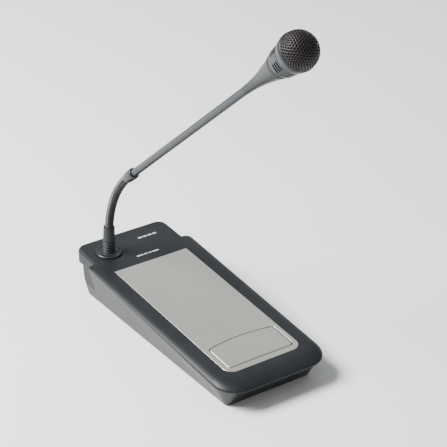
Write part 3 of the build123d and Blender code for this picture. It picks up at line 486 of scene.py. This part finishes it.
@dataclass
class Piece:
    """A mesh under construction that ends as one object of the scene."""

    name: str
    mesh: bmesh.types.BMesh = field(default_factory=bmesh.new)

    def loop(self, corners: Sequence[Point], radii: Sequence[float], steps: Sequence[int],
             height: Callable[[float, float], float]) -> list[bmesh.types.BMEdge]:
        """A closed loop of edges: a polygon with rounded corners, lifted to a height.

        Args:
            corners: corner points in millimetres, in order.
            radii: rounding of each corner in millimetres.
            steps: segments of each rounding.
            height: z in millimetres at a point x, y.

        Returns:
            The loop's edges.
        """
        shape = bmesh.new()
        sharp = [shape.verts.new((x * MM, y * MM, 0)) for x, y in corners]
        shape.faces.new(sharp)
        for vert, radius, count in zip(sharp, radii, steps):
            bmesh.ops.bevel(shape, geom=[vert], offset=radius * MM, offset_type="OFFSET", segments=count,
                            profile=0.5, affect="VERTICES", material=-1, clamp_overlap=False)
        outline = max(shape.faces, key=lambda face: len(face.verts))
        points = [vert.co.copy() for vert in outline.verts]
        shape.free()
        verts = [self.mesh.verts.new((p.x, p.y, height(p.x / MM, p.y / MM) * MM)) for p in points]
        return [self.mesh.edges.new(pair) for pair in zip(verts, verts[1:] + verts[:1])]

    def bridge(self, first: list[bmesh.types.BMEdge], second: list[bmesh.types.BMEdge]) -> None:
        """Join two loops of equal length with a band of faces."""
        bmesh.ops.bridge_loops(self.mesh, edges=first + second)

    def fill(self, *loops: list[bmesh.types.BMEdge]) -> None:
        """Fill the flat region between the loops."""
        edges = [edge for loop in loops for edge in loop]
        bmesh.ops.triangle_fill(self.mesh, use_beauty=True, use_dissolve=False, edges=edges, normal=(0, 0, 1))

    def lathe(self, profile: Sequence[Point], turn: Turn, place: Matrix) -> None:
        """Spin a closed profile of radius and length about the Z axis of the place.

        Args:
            profile: points of radius and length in millimetres.
            turn: fineness around the axis.
            place: transform of the finished shape, in metres.
        """
        verts = [self.mesh.verts.new((radius * MM, 0, length * MM)) for radius, length in profile]
        pairs = [*zip(verts, verts[1:]), (verts[-1], verts[0])]
        edges = [self.mesh.edges.new(pair) for pair in pairs if pair[0].co != pair[1].co
                 and not (pair[0].co.x == 0 and pair[1].co.x == 0)]
        before = set(self.mesh.verts) - set(verts)
        bmesh.ops.spin(self.mesh, geom=verts + edges, cent=(0, 0, 0), axis=(0, 0, 1), dvec=(0, 0, 0),
                       angle=math.tau, steps=turn.value, use_merge=True)
        made = [vert for vert in self.mesh.verts if vert not in before]
        bmesh.ops.remove_doubles(self.mesh, verts=made, dist=1e-7)
        made = [vert for vert in self.mesh.verts if vert not in before]
        bmesh.ops.transform(self.mesh, matrix=place, verts=made)

    def object(self, finish: bpy.types.Material, smooth_below: float = 38.0) -> bpy.types.Object:
        """Turn the mesh into an object of the scene.

        Args:
            finish: its material.
            smooth_below: edges flatter than this angle in degrees are shaded smooth.

        Returns:
            The new object, at the origin.
        """
        bmesh.ops.recalc_face_normals(self.mesh, faces=self.mesh.faces[:])
        for face in self.mesh.faces:
            face.smooth = True
        for edge in self.mesh.edges:
            edge.smooth = edge.calc_face_angle(0.0) < math.radians(smooth_below)
        data = bpy.data.meshes.new(self.name)
        self.mesh.to_mesh(data)
        self.mesh.free()
        data.materials.append(finish)
        made = bpy.data.objects.new(self.name, data)
        bpy.context.scene.collection.objects.link(made)
        return made


def settle(piece: bpy.types.Object, body: str, slot: str, *nodes: str) -> bpy.types.Object:
    """Make a finished piece ride on its body and stand for CAD nodes.

    Args:
        piece: the finished object.
        body: the CAD body it moves with.
        slot: the record's material slot; not used.
        nodes: CAD nodes that it replaces.

    Returns:
        The same object.
    """
    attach(piece, body)
    if nodes:
        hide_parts(*nodes)
    LOG.info("%s rides on %s", piece.name, body)
    return piece


# ---------------------------------------------------------------- base


@dataclass
class Cover:
    """The moulded top cover: rolled edges, panel recess, key opening and rear hood."""

    half_width: float = 50.0
    front_height: float = 24.3
    rear_height: float = 40.75
    shoulder_setback: float = 31.5
    hood_half: float = 43.5
    hood_underside: float = 28.75
    edge_front: float = 5.4
    edge_rear: float = 1.2
    lip: float = 0.7
    nose_roll: float = 18.0
    side_roll: float = 9.0
    hood_roll: float = 3.0
    hood_drop: float = 2.4
    wall: float = 3.0
    plug_inset: float = 4.6
    recess_half: float = 35.4
    recess_front: float = 19.35
    recess_length: float = 165.3
    recess_depth: float = 1.2
    recess_radius: float = 9.15
    recess_rear_radius: float = 0.4
    key_gap: float = 0.9
    key_radius: float = 3.6
    roll_powers: tuple[float, float] = (2.3, 0.72)
    loop_steps: tuple[int, ...] = (14, 14, 6, 5, 8, 8, 5, 6)
    roll_amounts: tuple[float, ...] = (0.0, 0.03, 0.07, 0.12, 0.18, 0.26, 0.35, 0.46, 0.58, 0.72, 0.86, 1.0)

    def __post_init__(self) -> None:
        """Take the cover's front and rear from the frame."""
        low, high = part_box("top_cover")
        self.front_y = low[1] / MM
        self.rear_y = high[1] / MM
        self.shoulder_y = self.rear_y - self.shoulder_setback

    def top(self, y: float) -> float:
        """Height of the sloped top plane."""
        return self.front_height + (y - self.front_y) * (self.rear_height - self.front_height) / self.length

    @property
    def length(self) -> float:
        """Length of the base from front to rear."""
        return self.rear_y - self.front_y

    def edge_depth(self, y: float) -> float:
        """Depth of the parting line below the top plane along the body."""
        share = (y - self.front_y) / self.length
        return self.edge_front + (self.edge_rear - self.edge_front) * share

    def corners(self, side: float, front: float, shoulder: float, hood: float) -> list[Point]:
        """Corner points with the sides, the front, the shoulders and the hood moved in."""
        wide = self.half_width - side
        narrow = self.hood_half - hood
        step = self.shoulder_y - shoulder
        return [
            (-wide, self.front_y + front), (wide, self.front_y + front), (wide, step), (narrow, step),
            (narrow, self.rear_y - hood), (-narrow, self.rear_y - hood), (-narrow, step), (-wide, step),
        ]

    def outline(self, piece: Piece, amount: float, height: Callable[[float, float], float]
                ) -> list[bmesh.types.BMEdge]:
        """A loop between the outer edge, amount 0, and the inner end of the roll, amount 1."""
        corners = self.corners(self.side_roll * amount, self.nose_roll * amount, self.side_roll * amount,
                               self.hood_roll * amount)
        front = 20.0 - 11.0 * amount
        radii = [front, front, 6.0 - 1.5 * amount, 3.0 + 2.0 * amount, 8.5 - 3.0 * amount, 8.5 - 3.0 * amount,
                 3.0 + 2.0 * amount, 6.0 - 1.5 * amount]
        return piece.loop(corners, radii, self.loop_steps, height)

    def inner(self, piece: Piece, height: Callable[[float, float], float]) -> list[bmesh.types.BMEdge]:
        """The loop of the cover's inner wall."""
        corners = self.corners(self.plug_inset, self.plug_inset, self.plug_inset, self.wall)
        return piece.loop(corners, [15, 15, 2, 5, 5, 5, 5, 2], self.loop_steps, height)

    def roll(self, amount: float) -> Callable[[float, float], float]:
        """Height over the rolled edge at an amount from 0, the outer edge, to 1, the flat top."""
        inward, outward = self.roll_powers
        share = 1.0 - (1.0 - (1.0 - amount) ** inward) ** outward

        def height(x: float, y: float) -> float:
            """Height at one point."""
            to_hood = min(max((y - self.shoulder_y + 2.0) / 6.0, 0.0), 1.0)
            to_hood = to_hood * to_hood * (3.0 - 2.0 * to_hood)
            body_drop = max(self.edge_depth(y) - self.lip, 0.4)
            drop = body_drop + (self.hood_drop - body_drop) * to_hood
            return self.top(y) - drop * share

        return height

    def lower(self, x: float, y: float) -> float:
        """Height of the lower rim: the parting line, or the hood's underside."""
        in_hood = y > self.shoulder_y + 0.4 or (abs(x) < self.hood_half + 3.2 and y > self.shoulder_y - 6.0)
        return self.hood_underside if in_hood else self.top(y) - self.edge_depth(y)

    def below(self, depth: float) -> Callable[[float, float], float]:
        """Height function at a depth below the top plane."""
        return lambda x, y: self.top(y) - depth

    def recess(self, piece: Piece, depth: float) -> list[bmesh.types.BMEdge]:
        """Loop of the panel recess at a depth."""
        front = self.front_y + self.recess_front
        rear = front + self.recess_length
        corners = [(-self.recess_half, front), (self.recess_half, front), (self.recess_half, rear),
                   (-self.recess_half, rear)]
        radii = [self.recess_radius, self.recess_radius, self.recess_rear_radius, self.recess_rear_radius]
        return piece.loop(corners, radii, [10, 10, 2, 2], self.below(depth))

    def opening(self, piece: Piece, depth: float) -> list[bmesh.types.BMEdge]:
        """Loop of the key's opening at a depth."""
        low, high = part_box("ptt_key")
        left, front = low[0] / MM - self.key_gap, low[1] / MM - self.key_gap
        right, rear = high[0] / MM + self.key_gap, high[1] / MM + self.key_gap
        corners = [(left, front), (right, front), (right, rear), (left, rear)]
        return piece.loop(corners, [self.key_radius] * 4, [5] * 4, self.below(depth))

    def build(self, finish: bpy.types.Material) -> bpy.types.Object:
        """Build the cover as one closed shell.

        Args:
            finish: the cover's material.

        Returns:
            The cover object.
        """
        piece = Piece("cover_shell")
        rim = self.outline(piece, 0.0, self.lower)
        loops = [self.outline(piece, amount, self.roll(amount)) for amount in self.roll_amounts]
        piece.bridge(rim, loops[0])
        for outer, inner in zip(loops, loops[1:]):
            piece.bridge(outer, inner)
        recess_top = self.recess(piece, 0.0)
        recess_floor = self.recess(piece, self.recess_depth)
        piece.fill(loops[-1], recess_top)
        piece.bridge(recess_top, recess_floor)
        opening_top = self.opening(piece, self.recess_depth)
        opening_low = self.opening(piece, self.wall)
        piece.fill(recess_floor, opening_top)
        piece.bridge(opening_top, opening_low)
        wall_top = self.inner(piece, self.below(self.wall))
        wall_low = self.inner(piece, self.lower)
        piece.fill(opening_low, wall_top)
        piece.bridge(wall_top, wall_low)
        piece.bridge(wall_low, rim)
        return settle(piece.object(finish, 32.0), "base", "cover_plastic", "top_cover")


@dataclass
class PrintedMarks:
    """Two short rows of plain printed bars on the cover, with no lettering."""

    cover: Cover
    rows: tuple[tuple[float, float, tuple[float, ...]], ...] = (
        (9.0, 218.0, (3.6, 3.6, 3.6, 3.6)),
        (-7.0, 194.5, (6.0, 3.0, 3.0, 6.0)),
    )
    gap: float = 1.1
    depth: float = 1.7
    rise: float = 0.04

    def build(self, finish: bpy.types.Material) -> bpy.types.Object:
        """Build the bars as thin closed plates that follow the sloped top."""
        piece = Piece("printed_marks")
        for start, from_front, lengths in self.rows:
            x = start
            y = self.cover.front_y + from_front
            for length in lengths:
                made = bmesh.ops.create_cube(piece.mesh, size=1.0)
                for vert in made["verts"]:
                    px = x + (vert.co.x + 0.5) * length
                    py = y + vert.co.y * self.depth
                    rise = self.rise if vert.co.z > 0 else -self.rise
                    vert.co = Vector((px, py, self.cover.top(py) + rise)) * MM
                x += length + self.gap
        return settle(piece.object(finish), "base", "cover_plastic")


# ---------------------------------------------------------------- neck


@dataclass
class NeckLine:
    """Centre line of the neck: straight out of the cover, one arc, then straight to the head."""

    cover: Cover
    x: float = -23.6
    from_front: float = 212.26
    heading: float = 2.94
    straight: float = 20.3
    radius: float = 93.4
    angle: float = 45.27
    stem_start: float = 92.0

    def __post_init__(self) -> None:
        """Work out the foot, the directions and the arc's length."""
        slope = math.atan((self.cover.rear_height - self.cover.front_height) / self.cover.length)
        self.up = Vector((0, -math.sin(slope), math.cos(slope)))
        y = self.cover.front_y + self.from_front
        self.foot = Vector((self.x, y, self.cover.top(y)))
        heading = math.radians(self.heading)
        forward = Vector((math.sin(heading), -math.cos(heading), 0))
        self.bend = (forward - self.up * forward.dot(self.up)).normalized()
        self.across = self.up.cross(self.bend)
        self.turn = math.radians(self.angle)
        self.arc = self.radius * self.turn

    def direction(self, s: float) -> Vector:
        """Unit direction at the length s in millimetres."""
        turn = min(max(s - self.straight, 0.0) / self.radius, self.turn)
        return self.up * math.cos(turn) + self.bend * math.sin(turn)

    def point(self, s: float) -> Vector:
        """Point at the length s, in millimetres."""
        if s <= self.straight:
            return self.foot + self.up * s
        turn = min((s - self.straight) / self.radius, self.turn)
        curve = (self.up * math.sin(turn) + self.bend * (1 - math.cos(turn))) * self.radius
        rest = max(s - self.straight - self.arc, 0.0)
        return self.foot + self.up * self.straight + curve + self.direction(s) * rest

    def place(self, s: float) -> Matrix:
        """Frame at the length s whose Z axis follows the neck, in metres."""
        return self.frame(self.point(s), self.direction(s))

    def frame(self, origin: Vector, along: Vector) -> Matrix:
        """Frame in metres at an origin in millimetres, with Z along a direction and X across the bend."""
        made = Matrix((self.across, along.cross(self.across), along)).transposed().to_4x4()
        made.translation = origin * MM
        return made

    def from_foot(self) -> Matrix:
        """Frame of the straight foot, with lengths counted from the cover."""
        return self.place(0.0)

    def from_head(self) -> Matrix:
        """Frame of the straight stem, whose lengths are neck lengths counted from the cover."""
        along = self.direction(self.stem_start + self.arc)
        return self.frame(self.point(self.stem_start) - along * self.stem_start, along)


@dataclass
class NeckMount:
    """Rosette on the cover and the grooved sleeve that the neck comes out of."""

    line: NeckLine
    rosette_radius: float = 11.5
    sleeve_foot: float = 5.55
    sleeve_top: float = 4.65
    sleeve_end: float = 25.4
    groove_first: float = 3.6
    groove_pitch: float = 2.5
    groove_count: int = 4
    groove_depth: float = 0.55

    def rosette(self, finish: bpy.types.Material) -> bpy.types.Object:
        """Build the dished rosette with its rounded rim."""
        rim = self.rosette_radius
        profile = [(5.6, 0.05), (rim - 0.3, 0.05), (rim, 0.4), (rim, 0.85), (rim - 0.25, 1.35),
                   (rim - 0.8, 1.72), (rim - 1.5, 1.78), (rim - 2.2, 1.55), (rim - 2.9, 1.25), (7.6, 1.2),
                   (6.6, 1.5), (6.1, 1.95), (5.6, 2.0)]
        piece = Piece("neck_rosette_disc")
        piece.lathe(profile, Turn.FINE, self.line.from_foot())
        return settle(piece.object(finish, 50.0), "base", "neck_black", "neck_rosette")

    def sleeve(self, finish: bpy.types.Material) -> bpy.types.Object:
        """Build the tapered sleeve with its ring grooves and rolled top lip."""
        def radius(s: float) -> float:
            """Outer radius of the plain taper."""
            return self.sleeve_foot + (self.sleeve_top - self.sleeve_foot) * s / self.sleeve_end

        profile: list[Point] = [(4.05, 0.1), (radius(0), 0.1), (radius(1.0), 1.0)]
        for i in range(self.groove_count):
            s = self.groove_first + i * self.groove_pitch
            wall = radius(s)
            side = wall - self.groove_depth * 0.8
            profile += [(wall, s - 0.75), (side, s - 0.45), (wall - self.groove_depth, s), (side, s + 0.45),
                        (wall, s + 0.75)]
        end = self.sleeve_end
        top = self.sleeve_top
        profile += [(radius(end - 2.6), end - 2.6), (top - 0.25, end - 2.2), (top - 0.25, end - 1.9),
                    (top + 0.15, end - 1.5), (top + 0.18, end - 0.7), (top - 0.15, end),
                    (top - 0.8, end + 0.1), (3.85, end - 0.4), (4.05, end - 2.0)]
        piece = Piece("neck_sleeve_boot")
        piece.lathe(profile, Turn.MEDIUM, self.line.from_foot())
        return settle(piece.object(finish, 50.0), "base", "sleeve_rubber", "neck_sleeve")


@dataclass
class FlexibleNeck:
    """The wound flexible tube: one ribbed skin per joint, standing for the neck links."""

    line: NeckLine
    joints: list[dict[str, object]]
    start: float = 24.6
    end: float = 91.6
    core: float = 2.85
    rib: float = 0.86
    pitch: float = 1.45
    around: int = 32
    per_rib: int = 8
    joint_first: float = 29.5
    joint_last: float = 84.0
    reach: float = 7.5
    free_from: float = 25.7
    free_to: float = 90.2

    def radius(self, s: float, angle: float) -> float:
        """Radius of the wound tube at a length and an angle, in millimetres."""
        phase = (s / self.pitch - angle / math.tau) % 1.0
        return self.core + self.rib * math.sqrt(max(1.0 - (2.0 * phase - 1.0) ** 2, 0.0))

    def section(self, name: str, low: float, high: float) -> Piece:
        """Closed ribbed tube between two lengths."""
        rows = max(int(round((high - low) / self.pitch * self.per_rib)), 4)
        piece = Piece(name)
        bmesh.ops.create_grid(piece.mesh, x_segments=self.around, y_segments=rows, size=0.5)
        for vert in piece.mesh.verts:
            angle = (vert.co.x + 0.5) * math.tau
            s = low + (vert.co.y + 0.5) * (high - low)
            radius = self.radius(s, angle)
            place = self.line.place(s)
            vert.co = place @ Vector((math.cos(angle) * radius * MM, math.sin(angle) * radius * MM, 0))
        bmesh.ops.remove_doubles(piece.mesh, verts=piece.mesh.verts[:], dist=2e-6)
        rim = [edge for edge in piece.mesh.edges if edge.is_boundary]
        bmesh.ops.holes_fill(piece.mesh, edges=rim, sides=0)
        return piece

    def build(self, finish: bpy.types.Material) -> list[bpy.types.Object]:
        """Build one ribbed section per joint.

        Args:
            finish: the wound tube's material.

        Returns:
            The sections from the sleeve up.
        """
        count = len(self.joints)
        pitch = (self.joint_last - self.joint_first) / (count - 1)
        made = []
        for i, joint in enumerate(self.joints):
            centre = self.joint_first + i * pitch
            low = self.start if i == 0 else centre - pitch / 2
            high = self.end if i == count - 1 else centre + pitch / 2
            piece = self.section(f"neck_coil_{i + 1}", low, high).object(finish, 80.0)
            nodes = [] if joint["child"] == "microphone" else [f"neck_link_{i + 1}"]
            if nodes:
                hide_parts(*nodes)
            tuple(self.line.point(max(centre - self.reach, self.free_from)) * MM)
            tuple(self.line.point(min(centre + self.reach, self.free_to)) * MM)
            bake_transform(piece)
            LOG.info("%s bends from %s to %s", piece.name, joint["parent"], joint["child"])
            made.append(piece)
        return made


# ---------------------------------------------------------------- stem and head


@dataclass
class MicrophoneHead:
    """Ferrule, stem, trumpet flare, slotted band, collar and perforated grille."""

    line: NeckLine
    band_start: float = 346.7
    band_end: float = 361.0
    bulge: float = 14.75
    bulge_at: float = 369.4
    tip: float = 382.8
    slot_rows: tuple[float, ...] = (351.6, 354.6, 357.6)
    slot_width: float = 1.75
    slot_groups: int = 6
    slot_share: float = 0.55
    slot_depth: float = 1.1
    hole_share: float = 0.4
    grille_foot: float = 368.2
    grille_wall: float = 0.55

    def ferrule(self, finish: bpy.types.Material) -> bpy.types.Object:
        """Build the ferrule that joins the flexible tube to the stem."""
        profile = [(3.8, 90.5), (4.0, 90.5), (4.3, 90.8), (4.45, 91.6), (4.75, 97.0), (4.78, 102.6),
                   (4.6, 103.7), (4.1, 104.4), (3.4, 104.5), (3.22, 104.3), (3.22, 92.0), (3.8, 92.0)]
        piece = Piece("ferrule_collar")
        piece.lathe(profile, Turn.MEDIUM, self.line.from_head())
        return settle(piece.object(finish, 50.0), "microphone", "neck_black", "stem_ferrule")

    def stem(self, finish: bpy.types.Material) -> bpy.types.Object:
        """Build the slim stem tube, a little thicker towards the head."""
        profile = [(2.4, 92.0), (3.15, 92.0), (3.15, 200.0), (3.2, 260.0), (3.25, 303.0), (2.4, 303.0)]
        piece = Piece("stem_pipe")
        piece.lathe(profile, Turn.MEDIUM, self.line.from_head())
        return settle(piece.object(finish, 50.0), "microphone", "stem_black", "stem_tube")

    def flare(self, finish: bpy.types.Material) -> bpy.types.Object:
        """Build the trumpet flare behind the microphone head."""
        outer = [(3.42, 294.0), (3.6, 300.0), (4.02, 306.0), (4.59, 312.0), (5.4, 318.0), (6.45, 324.0),
                 (7.55, 330.0), (8.7, 336.0), (9.95, 341.0), (10.75, 344.0), (10.5, 344.6)]
        inner = [(radius - 1.2, s) for radius, s in reversed(outer[5:-2])]
        inner = [(9.4, 344.6), *inner, (3.3, 303.5), (3.3, 294.0)]
        piece = Piece("head_trumpet")
        piece.lathe(outer + inner, Turn.FINE, self.line.from_head())
        return settle(piece.object(finish, 50.0), "microphone", "head_plastic", "head_flare")

    def band(self, finish: bpy.types.Material) -> bpy.types.Object:
        """Build the slotted band: three rows of short slots in groups around it."""
        def radius(s: float) -> float:
            """Outer radius along the band."""
            return 11.5 + (13.45 - 11.5) * (s - self.band_start) / (self.band_end - self.band_start)

        stations = [self.band_start, self.band_start + 0.5]
        for row in self.slot_rows:
            stations += [row - self.slot_width / 2, row + self.slot_width / 2]
        stations += [self.band_end - 0.4, self.band_end]
        outer = [(radius(s) - (0.3 if s in (self.band_start, self.band_end) else 0.0), s) for s in stations]
        inner = [(radius(s) - 1.7, s) for s in reversed(stations)]
        piece = Piece("band_slotted")
        piece.lathe(outer + inner, Turn.FINE, Matrix.Identity(4))
        slots = []
        for face in piece.mesh.faces:
            centre = face.calc_center_median()
            s = centre.z / MM
            angle = (math.atan2(centre.y, centre.x) / math.tau * self.slot_groups) % 1.0
            outside = math.hypot(centre.x, centre.y) / MM > radius(s) - 0.4
            in_row = any(abs(s - row) < self.slot_width / 2 for row in self.slot_rows)
            if outside and angle < self.slot_share and in_row:
                slots.append(face)
        pushed = bmesh.ops.extrude_face_region(piece.mesh, geom=slots)
        bmesh.ops.delete(piece.mesh, geom=slots, context="FACES")
        for vert in (item for item in pushed["geom"] if isinstance(item, bmesh.types.BMVert)):
            flat = Vector((vert.co.x, vert.co.y, 0)).normalized()
            vert.co -= flat * self.slot_depth * MM
        bmesh.ops.transform(piece.mesh, matrix=self.line.from_head(), verts=piece.mesh.verts[:])
        return settle(piece.object(finish, 40.0), "microphone", "band_grey", "slotted_band")

    def collar(self, finish: bpy.types.Material) -> bpy.types.Object:
        """Build the smooth collar ring that holds the grille."""
        profile = [(12.4, 361.1), (13.5, 361.1), (13.85, 361.4), (14.4, 363.0), (14.85, 365.4), (15.1, 367.2),
                   (15.0, 367.8), (14.6, 368.0), (13.9, 368.0), (13.6, 363.4), (12.4, 363.4)]
        piece = Piece("collar_ring")
        piece.lathe(profile, Turn.FINE, self.line.from_head())
        return settle(piece.object(finish, 50.0), "microphone", "band_grey", "head_collar")

    def grille(self, finish: bpy.types.Material) -> bpy.types.Object:
        """Build the perforated dome: a geodesic shell with a hole at every point of its net.

        Args:
            finish: the grille's material.

        Returns:
            The grille object.
        """
        piece = Piece("grille_dome")
        mesh = piece.mesh
        bmesh.ops.create_icosphere(mesh, subdivisions=4, radius=1.0)
        below = [vert for vert in mesh.verts if vert.co.z < -0.32]
        bmesh.ops.delete(mesh, geom=below, context="VERTS")
        for vert in mesh.verts:
            flat = Vector((vert.co.x, vert.co.y, 0))
            reach = self.tip - self.bulge_at
            if vert.co.z < 0:
                flat.normalize()
                reach = 12.0
            flat *= self.bulge
            vert.co = Vector((flat.x, flat.y, self.bulge_at + reach * vert.co.z)) * MM
        inner = [vert for vert in mesh.verts if not vert.is_boundary]
        edge = sum(e.calc_length() for e in mesh.edges) / len(mesh.edges)
        made = bmesh.ops.bevel(mesh, geom=inner, offset=edge * self.hole_share, offset_type="OFFSET",
                               segments=1, profile=0.5, affect="VERTICES", material=-1, clamp_overlap=True)
        bmesh.ops.delete(mesh, geom=[face for face in made["faces"] if face.is_valid], context="FACES_ONLY")
        for vert in mesh.verts:
            vert.co.z = max(vert.co.z, self.grille_foot * MM)
        bmesh.ops.recalc_face_normals(mesh, faces=mesh.faces[:])
        bmesh.ops.transform(mesh, matrix=self.line.from_head(), verts=mesh.verts[:])
        shell = piece.object(finish, 60.0)
        thick = shell.modifiers.new("wall", "SOLIDIFY")
        thick.thickness = self.grille_wall * MM
        thick.offset = -1.0
        smooth = shell.modifiers.new("round_holes", "SUBSURF")
        smooth.levels = 1
        smooth.render_levels = 1
        return settle(shell, "microphone", "grille_black", "grille")

    def grille_ring(self, finish: bpy.types.Material) -> bpy.types.Object:
        """Build the plain hem ring at the foot of the grille."""
        profile = [(13.9, 368.1), (14.7, 368.1), (14.95, 368.4), (14.95, 369.0), (14.7, 369.3), (14.2, 369.3),
                   (13.9, 369.0)]
        piece = Piece("grille_hem")
        piece.lathe(profile, Turn.FINE, self.line.from_head())
        return settle(piece.object(finish, 50.0), "microphone", "grille_black")


# ---------------------------------------------------------------- studio


@dataclass
class Studio:
    """Plain pale floor, soft lights and the camera."""

    azimuth: float = -34.579
    elevation: float = 28.512
    distance: float = 1435.04
    target: tuple[float, float, float] = (34.351, 29.404, 86.579)
    lens: float = 143.25

    def toward_camera(self) -> Vector:
        """Unit vector from the object to the camera."""
        azimuth = math.radians(self.azimuth)
        elevation = math.radians(self.elevation)
        return Vector((math.sin(azimuth) * math.cos(elevation), -math.cos(azimuth) * math.cos(elevation),
                       math.sin(elevation)))

    def camera(self) -> None:
        """Place the camera at its viewing angle."""
        data = bpy.data.cameras.new("camera")
        data.lens = self.lens
        data.sensor_width = 36.0
        data.clip_start = 0.05
        data.clip_end = 20.0
        camera = bpy.data.objects.new("camera", data)
        back = self.toward_camera()
        camera.rotation_euler = back.to_track_quat("Z", "Y").to_euler()
        camera.location = (Vector(self.target) + back * self.distance) * MM
        bpy.context.scene.collection.objects.link(camera)
        bpy.context.scene.camera = camera

    def light(self, name: str, place: Sequence[float], size: float, power: float, colour: Colour) -> None:
        """Hang one square soft light that faces the object.

        Args:
            name: the light's name.
            place: its position in metres.
            size: its side in metres.
            power: its power in watts.
            colour: its colour.
        """
        data = bpy.data.lights.new(name, "AREA")
        data.size = size
        data.energy = power
        data.color = colour
        lamp = bpy.data.objects.new(name, data)
        lamp.location = place
        aim = Vector(self.target) * MM - Vector(place)
        lamp.rotation_euler = aim.to_track_quat("-Z", "Y").to_euler()
        bpy.context.scene.collection.objects.link(lamp)

    def floor(self) -> None:
        """Lay the floor, a large square plane."""
        mesh = bmesh.new()
        bmesh.ops.create_grid(mesh, x_segments=2, y_segments=2, size=4.0)
        data = bpy.data.meshes.new("floor")
        mesh.to_mesh(data)
        mesh.free()
        data.materials.append(PaleFloor().make())
        floor = bpy.data.objects.new("floor", data)
        bpy.context.scene.collection.objects.link(floor)

    def world(self) -> None:
        """Light everything evenly with a pale sky."""
        world = bpy.data.worlds.new("studio")
        world.use_nodes = True
        background = world.node_tree.nodes["Background"]
        background.inputs[0].default_value = (0.97, 0.985, 1.0, 1.0)
        background.inputs[1].default_value = 0.42
        bpy.context.scene.world = world

    def build(self) -> None:
        """Set up the whole studio."""
        self.floor()
        self.world()
        self.light("key_soft", (-1.15, 0.55, 1.45), 0.9, 115.0, (1.0, 0.995, 0.98))
        self.light("rear_card", (0.95, 1.35, 0.75), 1.2, 2.0, (0.97, 0.985, 1.0))
        self.camera()


# ---------------------------------------------------------------- assembly


def main() -> None:
    """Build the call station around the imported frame."""
    logging.basicConfig(level=logging.INFO, format="%(name)s: %(message)s")
    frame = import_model()
    record = frame["record"]
    finishes = Finishes()
    finishes.dress_frame(frame["nodes"], record["subparts"])

    cover = Cover()
    cover.build(finishes["cover_plastic"])
    PrintedMarks(cover).build(finishes["print_ink"])

    line = NeckLine(cover)
    mount = NeckMount(line)
    mount.rosette(finishes["neck_black"])
    mount.sleeve(finishes["sleeve_rubber"])
    neck_joints = [joint for joint in record["behaviour"]["joints"] if joint["name"].startswith("neck_")]
    FlexibleNeck(line, neck_joints).build(finishes["neck_black"])

    head = MicrophoneHead(line)
    head.ferrule(finishes["neck_black"])
    head.stem(finishes["stem_black"])
    head.flare(finishes["head_plastic"])
    head.band(finishes["band_grey"])
    head.collar(finishes["band_grey"])
    head.grille_ring(finishes["grille_black"])
    head.grille(finishes["grille_black"])

    Studio().build()


if __name__ == "__main__":
    main()
